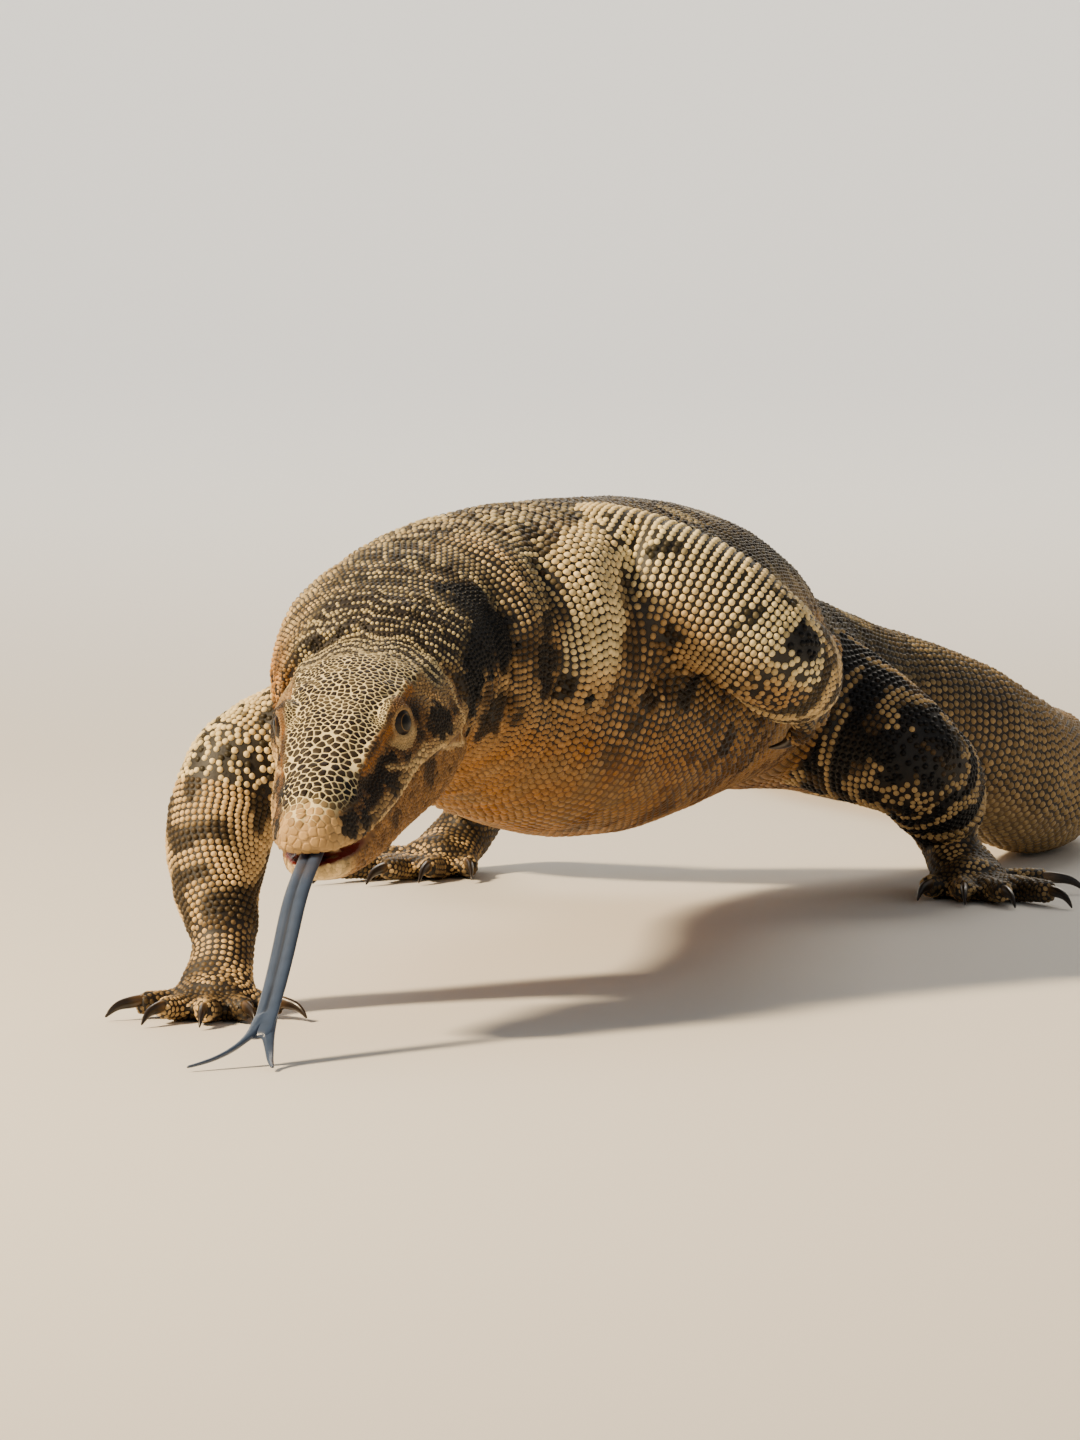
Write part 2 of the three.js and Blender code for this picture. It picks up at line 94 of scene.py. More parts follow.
# The animal's own millimetres: the snout tip is near x -68, y 0, and the floor is at z 0.
# The head has a frame of its own: x to the lizard's left, y back from the snout tip, z up.
SNOUT_TIP = np.array([-68.0, 0.0, 57.0])
HEAD_YAW, HEAD_PITCH, HEAD_ROLL = -12.5, 20.0, -3.0
EYE_SIDE, EYE_AT, EYE_HEIGHT = 14.3, 57.5, 13.4
EYE_RADIUS = 6.3
JAW_HINGE, JAW_OPEN = 92.0, 3.8


def turn(axis, degrees):
    """A rotation matrix about the x, y or z axis."""
    c, s = math.cos(math.radians(degrees)), math.sin(math.radians(degrees))
    i, j = {"x": (1, 2), "y": (2, 0), "z": (0, 1)}[axis]
    made = np.eye(3)
    made[i, i] = made[j, j] = c
    made[i, j], made[j, i] = -s, s
    return made


HEAD_TURN = turn("z", HEAD_YAW) @ turn("x", HEAD_PITCH) @ turn("y", HEAD_ROLL)


def on_head(points):
    """Points of the head's frame, in the animal's millimetres."""
    return np.asarray(points, float) @ HEAD_TURN.T + SNOUT_TIP


def in_head(points):
    """Points of the animal's millimetres, in the head's frame."""
    return (np.asarray(points, float) - SNOUT_TIP) @ HEAD_TURN


def node_centre(name):
    low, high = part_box(name)
    return np.array((low + high) / 2)


EYES_MIDDLE = (node_centre("eye_left") + node_centre("eye_right")) / 2
ORIGIN = EYES_MIDDLE - on_head((0, EYE_AT, EYE_HEIGHT)) * MM


def to_row(points):
    """The animal's millimetres to the row frame's metres."""
    return np.asarray(points, float) * MM + ORIGIN


def to_animal(points):
    """The row frame's metres to the animal's millimetres."""
    return (np.asarray(points, float) - ORIGIN) / MM


def smoothstep(low, high, value):
    """0 below low, 1 above high and smooth between, where low may be the higher one."""
    t = np.clip((np.asarray(value, float) - low) / (high - low), 0, 1)
    return t * t * (3 - 2 * t)


def blend(value, target, share):
    """The value, moved towards the target by this share."""
    return value + (target - value) * share


def linear(hex_colour):
    """An sRGB hex colour as the linear values that Blender's sockets take."""
    channels = [int(hex_colour[i:i + 2], 16) / 255 for i in (1, 3, 5)]
    return tuple(c / 12.92 if c <= 0.04045 else ((c + 0.055) / 1.055) ** 2.4 for c in channels) + (1.0,)


def length_property(name, description, millimetres, low=0.0):
    return bpy.props.FloatProperty(
        name=name, description=description, default=millimetres * MM, min=low * MM,
        unit="LENGTH", precision=5)


def colour_property(name, description, hex_colour):
    return bpy.props.FloatVectorProperty(
        name=name, description=description, default=linear(hex_colour), size=4, min=0, max=1, subtype="COLOR")


class LizardSkinSizes(bpy.types.PropertyGroup):
    """Sizes of the skin."""
    coat_depth: length_property("Coat depth", "How far the skin lies inside the flesh solids", 0.6)
    body_voxel: length_property("Body grain", "Size of the skin's facets on the body", 3.0, 1.0)
    hand_voxel: length_property("Hand grain", "Size of the skin's facets on hands and feet", 1.6, 0.8)
    head_voxel: length_property("Head grain", "Size of the skin's facets on the head", 0.95, 0.5)
    body_passes: bpy.props.IntProperty(
        name="Body smoothing", description="Smoothing passes that take the facets away", default=40, min=0)
    hand_passes: bpy.props.IntProperty(
        name="Hand smoothing", description="Smoothing passes over hands and feet", default=22, min=0)
    head_passes: bpy.props.IntProperty(
        name="Head smoothing", description="Smoothing passes over the head", default=60, min=0)
    lip_gap_end: length_property("Lip gap", "Where the parted lips meet, back from the snout tip", 36.0)


class LizardScaleSizes(bpy.types.PropertyGroup):
    """Spacing and height of the scales."""
    neck_pitch: length_property("Neck spacing", "Spacing of the scales on the neck", 2.2, 1.0)
    trunk_pitch: length_property("Trunk spacing", "Spacing of the scales on the trunk", 2.8, 1.0)
    belly_pitch: length_property("Belly spacing", "Spacing of the scales on the belly", 2.7, 1.0)
    tail_pitch: length_property("Tail spacing", "Spacing of the scales on the tail", 3.1, 1.0)
    limb_pitch: length_property("Limb spacing", "Spacing of the beads on the limbs", 2.5, 1.0)
    foot_pitch: length_property("Foot spacing", "Spacing of the scales on hands and feet", 2.0, 0.8)
    head_pitch: length_property("Head spacing", "Spacing of the plates on top of the head", 1.85, 0.8)
    height: length_property("Bead height", "How far a bead stands out of the skin", 0.75)
    patch: bpy.props.FloatProperty(
        name="Bake patch", description="Width of a scale's patch on the map", default=0.003, min=0.0005)
    seed: bpy.props.IntProperty(name="Seed", description="Seed of every random draw", default=11)


class LizardColours(bpy.types.PropertyGroup):
    """Colours of the skin, scales, eyes, tongue and claws."""
    cream: colour_property("Cream", "Pale beads", "#F4E2AA")
    ochre: colour_property("Ochre", "Golden tan of throat and belly", "#B4721A")
    brown: colour_property("Brown", "Dark brown scales", "#18110C")
    umber: colour_property("Umber", "Dark scales among golden ones", "#3A230F")
    black: colour_property("Black", "Blotches", "#050404")
    mouth: colour_property("Mouth", "Lining of the mouth", "#5B1A14")
    iris: colour_property("Iris", "Dark brown iris", "#1C1109")
    iris_ring: colour_property("Iris ring", "Golden ring round the pupil", "#6E5128")
    tongue: colour_property("Tongue", "Slate blue of the tongue", "#34435C")
    claw: colour_property("Claw", "Dark horn", "#241C16")
    floor: colour_property("Floor", "Plain studio floor", "#E4E0D8")


class LizardStageSizes(bpy.types.PropertyGroup):
    """Camera, floor and lights."""
    camera_distance: bpy.props.FloatProperty(
        name="Camera distance", description="From the camera to its target", default=4.0, unit="LENGTH")
    camera_elevation: bpy.props.FloatProperty(
        name="Camera elevation", description="Height of the view above the horizon",
        default=math.radians(4.5), subtype="ANGLE")
    target_height: length_property("Target height", "Height of the middle of the picture", 94.3)
    focal_pixels: bpy.props.FloatProperty(
        name="Focal length", description="Focal length in pixels of the photograph", default=13793)
    floor_width: bpy.props.FloatProperty(
        name="Floor width", description="Width of the floor and backdrop", default=14.0, unit="LENGTH")


def new_object(name, data):
    made = bpy.data.objects.new(name, data)
    bpy.context.scene.collection.objects.link(made)
    return made


def remove_object(obj):
    mesh = obj.data
    bpy.data.objects.remove(obj)
    if not mesh.users:
        bpy.data.meshes.remove(mesh)


def settled_mesh(obj):
    """The object's mesh with its modifiers applied; the object itself goes."""
    graph = bpy.context.evaluated_depsgraph_get()
    made = bpy.data.meshes.new_from_object(obj.evaluated_get(graph), depsgraph=graph)
    remove_object(obj)
    return made


def mesh_from(name, vertices, faces):
    mesh = bpy.data.meshes.new(name)
    mesh.from_pydata([tuple(v) for v in vertices], [], [tuple(int(i) for i in f) for f in faces])
    mesh.update()
    return mesh


def coordinates(mesh):
    co = np.empty(len(mesh.vertices) * 3)
    mesh.vertices.foreach_get("co", co)
    return co.reshape(-1, 3)


def vertex_normals(mesh):
    normals = np.empty(len(mesh.vertices) * 3)
    mesh.vertex_normals.foreach_get("vector", normals)
    return normals.reshape(-1, 3)


def set_coordinates(mesh, co):
    mesh.vertices.foreach_set("co", np.asarray(co, np.float32).ravel())
    mesh.update()


def set_attribute(mesh, name, kind, values):
    """Stores one value a vertex: kind is FLOAT, FLOAT_VECTOR or FLOAT2."""
    attribute = mesh.attributes.new(name, kind, "POINT")
    field = "value" if kind == "FLOAT" else "vector"
    attribute.data.foreach_set(field, np.asarray(values, np.float32).ravel())


def shade_smooth(mesh):
    mesh.polygons.foreach_set("use_smooth", np.ones(len(mesh.polygons), bool))


def finish_piece(obj, material=None, replaced=()):
    """Smooth shading, the piece parented to the root body, and the nodes it replaces hidden."""
    if material is not None:
        obj.data.materials.clear()
        obj.data.materials.append(material)
    shade_smooth(obj.data)
    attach(obj, "root")
    if replaced:
        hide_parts(*replaced)


def add_node(tree, kind, settings=None, inputs=None):
    """Adds a node, sets its properties, and sets or links its inputs."""
    made = tree.nodes.new(kind)
    for key, value in (settings or {}).items():
        setattr(made, key, value)
    for key, value in (inputs or {}).items():
        socket = made.inputs[key]
        if isinstance(value, bpy.types.NodeSocket):
            tree.links.new(value, socket)
        else:
            socket.default_value = value
    return made


def new_material(name):
    """An empty node material with its output, and its tree."""
    material = bpy.data.materials.new(name)
    material.use_nodes = True
    material.node_tree.nodes.clear()
    return material, material.node_tree


def curve_points(points, steps=12):
    """A Catmull-Rom line through the points."""
    p = np.asarray(points, float)
    p = np.vstack([2 * p[0] - p[1], p, 2 * p[-1] - p[-2]])
    made = []
    for i in range(1, len(p) - 2):
        for t in np.arange(steps) / steps:
            made.append(0.5 * (2 * p[i] + (p[i + 1] - p[i - 1]) * t
                               + (2 * p[i - 1] - 5 * p[i] + 4 * p[i + 1] - p[i + 2]) * t ** 2
                               + (3 * p[i] - p[i - 1] - 3 * p[i + 1] + p[i + 2]) * t ** 3))
    made.append(p[-2])
    return np.array(made)


def unit(v):
    return v / np.maximum(np.linalg.norm(v, axis=-1, keepdims=True), 1e-9)


class Path:
    """A centre line with its arc length, its frame and the body's radius along it."""

    def __init__(self, points, radii, up):
        self.line = curve_points(points)
        self.radii = curve_points(np.asarray(radii, float)[:, None])[:, 0]
        steps = np.linalg.norm(np.diff(self.line, axis=0), axis=1)
        self.lengths = np.concatenate([[0], np.cumsum(steps)])
        self.length = self.lengths[-1]
        self.up = np.asarray(up, float)

    def at(self, s):
        s = np.atleast_1d(s)
        centre = np.stack([np.interp(s, self.lengths, self.line[:, i]) for i in range(3)], axis=1)
        slope = np.gradient(self.line, self.lengths, axis=0)
        along = unit(np.stack([np.interp(s, self.lengths, slope[:, i]) for i in range(3)], axis=1))
        side = unit(np.cross(self.up, along))
        over = np.cross(along, side)
        return centre, along, side, over, np.interp(s, self.lengths, self.radii)


# Centre lines, in the animal's millimetres, and the body's mean radius at each point.
HEAD_LINE = [
    (tuple(on_head((0, 4, 1))), 9), (tuple(on_head((0, 24, 2))), 15), (tuple(on_head((0, 48, 3))), 19.5),
    (tuple(on_head((0, 72, 2))), 24), (tuple(on_head((0, 92, 1))), 26.5),
]
SPINE = [
    (tuple(on_head((0, 96, 1))), 26.5), (tuple(on_head((-2, 114, 2))), 30), ((-42, 126, 101), 36),
    ((-26, 156, 101.5), 43.5), ((-4, 192, 99), 49.5), ((12, 236, 94), 52.5), ((21, 290, 91), 54.5),
    ((27, 346, 88), 55), ((36, 400, 83), 51), ((49, 448, 75), 43), ((70, 490, 67), 36), ((98, 524, 57), 29.5),
]
TAIL_LENGTH, TAIL_STATIONS = 890.0, 18
TAIL_SWING, TAIL_PEAK, TAIL_PERIOD, TAIL_FADE, TAIL_DROP = 52.0, 0.02, 0.75, 1.9, 0.145


def tail_stations():
    """The tail's centre line from the vent back: an S that fades out, laid on the floor."""
    x, y, _ = SPINE[-1][0]
    made = []
    for i in range(1, TAIL_STATIONS + 1):
        f = i / TAIL_STATIONS
        swing = math.cos(2 * math.pi * (f - TAIL_PEAK) / TAIL_PERIOD) * math.exp(-TAIL_FADE * f)
        heading = math.radians(TAIL_SWING * swing)
        x += math.sin(heading) * TAIL_LENGTH / TAIL_STATIONS
        y += math.cos(heading) * TAIL_LENGTH / TAIL_STATIONS
        slim = 1 - f
        wide = 1.4 + 27.6 * slim ** 1.9
        below = 2.2 + 26.8 * slim ** 1.12
        z = below - 1.2 + 28 * (1 - float(smoothstep(0, TAIL_DROP, f)))
        made.append(((x, y, z), (wide + below) / 2))
    return made


LIMB_LINES = {
    "arm_right": dict(root=(-34, 170, 82), joint=(-91, 123, 68), wrist=(-94, 97, 22), bow=(-2, 0, 2),
                      lower_bow=(-4, 3, 0), upper=(26, 24.5, 21.5, 18.3), lower=(16.3, 17, 13.7, 9.9)),
    "arm_left": dict(root=(12, 190, 123), joint=(70, 178, 100), wrist=(81, 231, 87), bow=(2, -4, 7),
                     lower_bow=(2, 0, -1), upper=(22.5, 20.2, 19, 17.2), lower=(16.3, 17, 13.7, 9.9)),
    "leg_left": dict(root=(78, 480, 65), joint=(121, 452, 45), wrist=(132, 494, 19.5), bow=(0, 0, 1),
                     lower_bow=(3, 2, 0), upper=(27, 25.7, 22.7, 18.7), lower=(17.2, 17.7, 14.2, 10.5)),
    "leg_right": dict(root=(46, 500, 65), joint=(-14, 516, 53), wrist=(-20, 570, 21), bow=(0, -2, 4),
                      lower_bow=(-3, 0, 0), upper=(27, 25.7, 22.7, 18.7), lower=(17.2, 17.7, 14.2, 10.5)),
}


def bowed(start, end, bow, count):
    """Points from start to end, bowed to one side."""
    f = np.linspace(0, 1, count)[:, None]
    return blend(np.asarray(start), np.asarray(end), f) + np.asarray(bow) * np.sin(math.pi * f)


def skeleton():
    """The centre line of each length of the body, by name."""
    spine = SPINE + tail_stations()
    paths = {
        "head": Path([p for p, _ in HEAD_LINE], [r for _, r in HEAD_LINE], HEAD_TURN[:, 2]),
        "spine": Path([p for p, _ in spine], [r for _, r in spine], (0, 0, 1)),
    }
    for limb, line in LIMB_LINES.items():
        joint, wrist = np.array(line["joint"], float), np.array(line["wrist"], float)
        upper = bowed(line["root"], joint, line["bow"], 4)
        lower = bowed(joint, wrist, line["lower_bow"], 4)
        paths[limb + "_upper"] = Path(upper, line["upper"], (0, 0, 1))
        paths[limb + "_lower"] = Path(lower, line["lower"], unit(wrist - np.array(line["root"], float)))
        ends = [to_animal(node_centre(CLAW_PREFIX[limb] + str(i + 1))) for i in range(DIGITS)]
        palm_end = wrist + (np.mean(ends, axis=0) - wrist) * 0.45
        paths[limb + "_palm"] = Path([wrist, (wrist + palm_end) / 2, palm_end], (10, 11, 10), (0, 0.1, 1))
        for i, end in enumerate(ends):
            knuckle = palm_end + (end - palm_end) * 0.3
            digit = [knuckle, (knuckle + end) / 2, end]
            paths[f"{limb}_digit_{i + 1}"] = Path(digit, (5.5, 4.6, 3.8), (0, 0.1, 1))
    return paths


PATHS = skeleton()
PATH_NAMES = list(PATHS)
SKELETON_STEP = 4.0


def lies_on(owner, *words):
    """Which points are on a centre line whose name holds one of these words."""
    return np.array([any(word in name for word in words) for name in PATH_NAMES])[owner]


def skeleton_samples():
    """Points along every centre line, with the path's number, arc length and radius."""
    rows = []
    for number, path in enumerate(PATHS.values()):
        s = np.linspace(0, path.length, max(3, int(path.length / SKELETON_STEP)))
        centre, _, _, _, radius = path.at(s)
        rows.append(np.column_stack([centre, np.full(len(s), number), s, radius]))
    return np.vstack(rows)


def claims(points):
    """For each point the nearest centre line, measured in that line's own radii, and the place along it."""
    samples = skeleton_samples()
    owner = np.empty(len(points), int)
    place = np.empty(len(points))
    for start in range(0, len(points), 4000):
        block = points[start:start + 4000]
        apart = np.linalg.norm(block[:, None, :] - samples[None, :, :3], axis=2) / samples[None, :, 5]
        best = apart.argmin(axis=1)
        owner[start:start + 4000] = samples[best, 3]
        place[start:start + 4000] = samples[best, 4]
    return owner, place


def angle_round(path, s, points):
    """Degrees round the centre line: 0 at the lizard's right, 90 on top, 180 at its left, -90 below."""
    centre, _, side, over, _ = path.at(s)
    away = points - centre
    return np.degrees(np.arctan2((away * over).sum(1), (away * side).sum(1)))


def smooth_surface(mesh, passes, weight=None):
    """Takes facets off without shrinking the form: each pass smooths, then swells by a little more."""
    edges = np.empty(len(mesh.edges) * 2, int)
    mesh.edges.foreach_get("vertices", edges)
    a, b = edges.reshape(-1, 2).T
    co = coordinates(mesh)
    count = np.bincount(a, minlength=len(co)) + np.bincount(b, minlength=len(co))
    weight = np.ones(len(co)) if weight is None else weight
    for _ in range(passes):
        for factor in (0.6, -0.62):
            total = np.stack([
                np.bincount(a, co[b, i], len(co)) + np.bincount(b, co[a, i], len(co))
                for i in range(3)], axis=1)
            co = blend(co, total / np.maximum(count, 1)[:, None], (factor * weight)[:, None])
    set_coordinates(mesh, co)


def flesh_copy(names, grow, reshape=None):
    """One mesh of merged copies of these nodes, each grown a little so that neighbours overlap."""
    joined = bmesh.new()
    for name in names:
        piece = bmesh.new()
        piece.from_mesh(frame["nodes"][name].data)
        bmesh.ops.remove_doubles(piece, verts=piece.verts, dist=1e-6)
        piece.normal_update()
        moved = [v.co + v.normal * grow for v in piece.verts]
        for vertex, place in zip(piece.verts, moved):
            vertex.co = place
        if reshape is not None:
            reshape(name, piece)
        copy = bpy.data.meshes.new(name + "_copy")
        piece.to_mesh(copy)
        joined.from_mesh(copy)
        bpy.data.meshes.remove(copy)
        piece.free()
    mesh = bpy.data.meshes.new("flesh")
    joined.to_mesh(mesh)
    joined.free()
    return mesh


def voxel_remesh(mesh, size):
    obj = new_object("flesh", mesh)
    modifier = obj.modifiers.new("voxels", "REMESH")
    modifier.mode = "VOXEL"
    modifier.voxel_size = size
    return settled_mesh(obj)


def cut_piece(piece, point, normal):
    """Takes off the side of the piece that the normal points to, and closes the cut."""
    geometry = piece.verts[:] + piece.edges[:] + piece.faces[:]
    cut = bmesh.ops.bisect_plane(
        piece, geom=geometry, dist=1e-7, plane_co=point, plane_no=normal, clear_outer=True)
    edges = [e for e in cut["geom_cut"] if isinstance(e, bmesh.types.BMEdge)]
    bmesh.ops.edgeloop_fill(piece, edges=edges)
    bmesh.ops.triangulate(piece, faces=[f for f in piece.faces if len(f.verts) > 4])


def joined_shells(first, second):
    """The union of two closed meshes."""
    least = len(first.vertices)
    base, tool = new_object("base", first), new_object("tool", second)
    modifier = base.modifiers.new("union", "BOOLEAN")
    modifier.operation = "UNION"
    modifier.solver = "MANIFOLD"
    modifier.object = tool
    made = settled_mesh(base)
    remove_object(tool)
    if len(made.vertices) <= least:
        raise RuntimeError("the body did not join its fine shells")
    return made


NECK_CUT = 122.0
NECK_OVERLAP = 16.0
HEAD_BACK = Vector(HEAD_TURN[:, 1])


# How much further than the hinge opens them the lips are parted at the front of the mouth.
LIP_PARTING = 1.1


def shape_head_copy(name, piece):
    """Cuts the neck's copy behind the head, and raises the back of the lower jaw's rim,
    so that the lips part only at the front."""
    if name == "neck":
        cut_piece(piece, Vector(to_row(on_head((0, NECK_CUT, 0)))), HEAD_BACK)
    if name != "lower_jaw":
        return
    end = bpy.context.scene.lizard_skin.lip_gap_end / MM
    for vertex in piece.verts:
        x, y, z = in_head(to_animal(vertex.co))
        gap = max(0.0, JAW_HINGE - y) * math.tan(math.radians(JAW_OPEN))
        rise = gap * float(smoothstep(end - 12, end, y)) * float(smoothstep(-17, -6, z))
        rise -= LIP_PARTING * float(smoothstep(32, 20, y)) * float(smoothstep(-15, -8, z))
        vertex.co = Vector(to_row(on_head((x, y, z + rise))))


def shape_body_copy(name, piece):
    """Cuts the front off the neck's copy, where the head's fine shell takes its place."""
    if name == "neck":
        cut_piece(piece, Vector(to_row(on_head((0, NECK_CUT - NECK_OVERLAP, 0)))), -HEAD_BACK)


WRIST_OVERLAP = 16.0


def hand_shell(limb):
    """A hand or foot in a finer mesh, with the end of its forearm or shank."""
    sizes = bpy.context.scene.lizard_skin
    _, lower, end = LIMB_NODES[limb]
    joint, wrist = (np.array(LIMB_LINES[limb][key], float) for key in ("joint", "wrist"))
    along = unit(wrist - joint)

    def keep_end(name, piece):
        if name == lower:
            cut_piece(piece, Vector(to_row(wrist - along * WRIST_OVERLAP)), -Vector(along))

    shell = voxel_remesh(flesh_copy([lower, end], 0.0004, keep_end), sizes.hand_voxel)
    smooth_surface(shell, sizes.hand_passes)
    return shell


def base_skin():
    """The skin before its folds: the fine shells of head, hands and feet, and the body's, joined into one."""
    sizes = bpy.context.scene.lizard_skin
    head_nodes = HEAD_NODES + ["neck", "eye_left", "eye_right"]
    head = voxel_remesh(flesh_copy(head_nodes, 0.00025, shape_head_copy), sizes.head_voxel)
    smooth_surface(head, sizes.head_passes)
    fine = bmesh.new()
    for shell in [head] + [hand_shell(limb) for limb in LIMB_NODES]:
        fine.from_mesh(shell)
        bpy.data.meshes.remove(shell)
    shells = bpy.data.meshes.new("fine_shells")
    fine.to_mesh(shells)
    fine.free()
    ends = {names[2] for names in LIMB_NODES.values()}
    body_nodes = [name for name in TRUNK_NODES + TAIL_NODES + LIMB_FLESH if name not in ends]
    body = voxel_remesh(flesh_copy(body_nodes, 0.0004, shape_body_copy), sizes.body_voxel)
    smooth_surface(body, sizes.body_passes)
    return joined_shells(body, shells)


def near_line(points, line):
    """Distance from each point to a broken line."""
    best = np.full(len(points), 1e9)
    line = np.asarray(line, float)
    for start, end in zip(line[:-1], line[1:]):
        step = end - start
        t = np.clip(((points - start) @ step) / (step @ step), 0, 1)
        best = np.minimum(best, np.linalg.norm(points - start - t[:, None] * step, axis=1))
    return best


def ridge(points, line, width, height):
    """Height of a soft ridge along a line, or of a groove where height is negative."""
    return height * np.exp(-(near_line(points, line) / width) ** 2)


def grain(points, size, seed=0.0):
    """Smooth noise from about -1 to 1, with forms of about this size in millimetres."""
    place = np.asarray(points, float) / size + seed
    return np.array([noise.noise(Vector(v)) for v in place]) * 1.6


# Half width of the closed lips at each distance back from the snout tip, and where the mouth ends.
LIP_AT = (0, 5, 14, 26, 38, 48, 57.5, 70, 84, 100)
LIP_HALF = (0, 9.6, 13.4, 16, 18.6, 20.2, 21.4, 25.6, 28.5, 27)
MOUTH_CORNER = 73.0


def lip_half(y):
    return np.interp(y, LIP_AT, LIP_HALF)


LIP_DROP_AT = (0, 5, 14, 26, 38, 48, 57.5, 70, 100)
LIP_DROP = (0, -1, -2.8, -3.2, -2.8, -1.4, -0.4, 0, 0)


def lip_level(y):
    """Height of the mouth line, which hangs low beside the snout."""
    return -1.7 + np.interp(y, LIP_DROP_AT, LIP_DROP)


MOUTH_LINE = [(lip_half(y), y, lip_level(y)) for y in (24, 30, 36, 42, 50, 58, 66, MOUTH_CORNER)]

# Soft ridges and grooves of the head's left side, which the right side mirrors: line, width and height.
BROW_LINE = [
    (11.6, 30, 11.4), (12.7, 40, 12.9), (14.6, 49, 15.2), (16, 57, 17.6), (17, 65, 18.8), (17.6, 72, 19.4),
]
TEMPLE_LINE = [(18.6, 80, 19.6), (19.6, 90, 18.9), (19.8, 99, 17)]
HEAD_FORMS = [
    (BROW_LINE, 2.3, 2.1),
    ([(x + 2.6, y, z - 4.4) for x, y, z in BROW_LINE[:3]], 2.6, -1.0),
    (TEMPLE_LINE, 2.6, 1.2),
    ([(30, 95, 12), (30, 95, 4)], 2.6, -1.2),
    ([(11.2, 13, 10.8), (11.6, 22, 12), (12, 30, 13.6)], 2.0, 0.9),
    ([(14.5, 26, 5), (16.5, 36, 6), (18, 44, 7)], 4.2, -1.2),
    ([(0, 30, 18), (0, 44, 21), (0, 58, 23)], 4.5, -0.9),
    ([(12.5, 56, 22), (13, 66, 22.4)], 3.6, 0.9),
    ([(19, 68, 18), (21, 76, 15)], 3.0, -0.8),
    ([(25.5, 74, 8), (27.5, 84, 4)], 8.0, 1.3),
    ([(22, 97, 18), (25.5, 98, 13), (28, 99, 5), (28, 100, -5), (24, 99, -15), (16, 97, -21)], 1.7, -1.4),
    ([(21, 92, 19), (25.5, 93, 13), (28, 94.5, 5), (28, 95.5, -5), (24, 94.5, -15)], 2.2, 0.9),
    (MOUTH_LINE, 0.95, -1.3),
    ([(x + 0.4, y, z + 2.3) for x, y, z in MOUTH_LINE], 1.3, 0.55),
    ([(x, y, z - 2.5) for x, y, z in MOUTH_LINE], 1.5, 0.6),
    ([(11.6, 15, 9), (12, 16.5, 8.6)], 1.9, -2.6),
    ([(11.6, 11.5, 10.2), (11.8, 19, 10.4)], 1.6, 0.7),
    ([(0, 1, 6), (0, 7, 9.5), (0, 14, 12)], 1.2, -0.7),
    ([(0, 1.5, 6.6), (5, 3, 6.6), (9.5, 6.5, 6.2)], 0.9, -0.5),
]
EYE_AXIS = unit(np.array([0.93, -0.33, 0.14]))
EYE_OPEN_LONG, EYE_OPEN_HIGH = math.radians(40), math.radians(34)


def eye_angles(head_points, side):
    """How head points lie to an eye: the way and distance from its middle, their angle off its axis as a
    share of the opening's half angle, and how far towards the opening's top they are."""
    centre = np.array([side * EYE_SIDE, EYE_AT, EYE_HEIGHT])
    axis = EYE_AXIS * (side, 1, 1)
    back = unit(np.array([0.0, 1.0, -0.12]) - axis * (np.array([0.0, 1.0, -0.12]) @ axis))
    upward = np.cross(back, axis) * -side
    away = head_points - centre
    distance = np.linalg.norm(away, axis=1)
    direction = away / np.maximum(distance, 1e-6)[:, None]
    angle = np.arccos(np.clip(direction @ axis, -1, 1))
    round_it = np.arctan2(direction @ upward, direction @ back)
    opening = 1 / np.sqrt((np.cos(round_it) / EYE_OPEN_LONG) ** 2 + (np.sin(round_it) / EYE_OPEN_HIGH) ** 2)
    return away, distance, angle / opening, np.sin(round_it)


def shape_lids(head_points):
    """Draws the skin over each eyeball as lids, and inside it where the eye is open."""
    made = head_points.copy()
    for side in (1, -1):
        away, distance, share, top = eye_angles(made, side)
        near = distance < EYE_RADIUS + 8
        lid = EYE_RADIUS + 0.45 + 0.45 * smoothstep(1.0, 1.3, share)
        lid = lid + 0.55 * np.exp(-((share - 1.5) / 0.3) ** 2) * smoothstep(0.1, -0.6, top)
        settled = np.where(distance > lid, lid + (distance - lid) * smoothstep(1.1, 1.9, share), lid)
        settled = np.maximum(settled + (distance - settled) * smoothstep(1.6, 2.3, share), EYE_RADIUS + 0.45)
        inside = EYE_RADIUS - 1.4
        radius = inside + (settled - inside) * smoothstep(0.93, 1.08, share)
        made = np.where(near[:, None], made + away * (radius / np.maximum(distance, 1e-6) - 1)[:, None], made)
    return made


# Creases and swellings of the body in the animal's millimetres: line, width and height.
BODY_FORMS = [
    ([(30, 178, 146), (27, 166, 126), (25, 161, 106), (20, 162, 92)], 3.4, -4.4),
    ([(20, 160, 140), (16, 146, 128), (15, 144, 112), (12, 141, 98)], 10.5, 5.0),
    ([(34, 172, 140), (34, 164, 124), (34, 160, 108)], 6.0, 1.4),
    ([(0, 152, 144), (1, 139, 134), (2, 133, 118), (2, 129, 100), (6, 128, 88)], 3.6, -3.6),
    ([(-22, 128, 140), (-16, 118, 132), (-10, 114, 120), (-6, 113, 106), (-8, 112, 90)], 3.0, -2.4),
    ([(-14, 134, 138), (-8, 124, 128), (-3, 120, 114)], 5.0, 1.6),
    ([(24, 164, 92), (40, 172, 92), (56, 176, 90), (68, 182, 86)], 3.4, -3.0),
]
GULAR_FOLD = 9.0


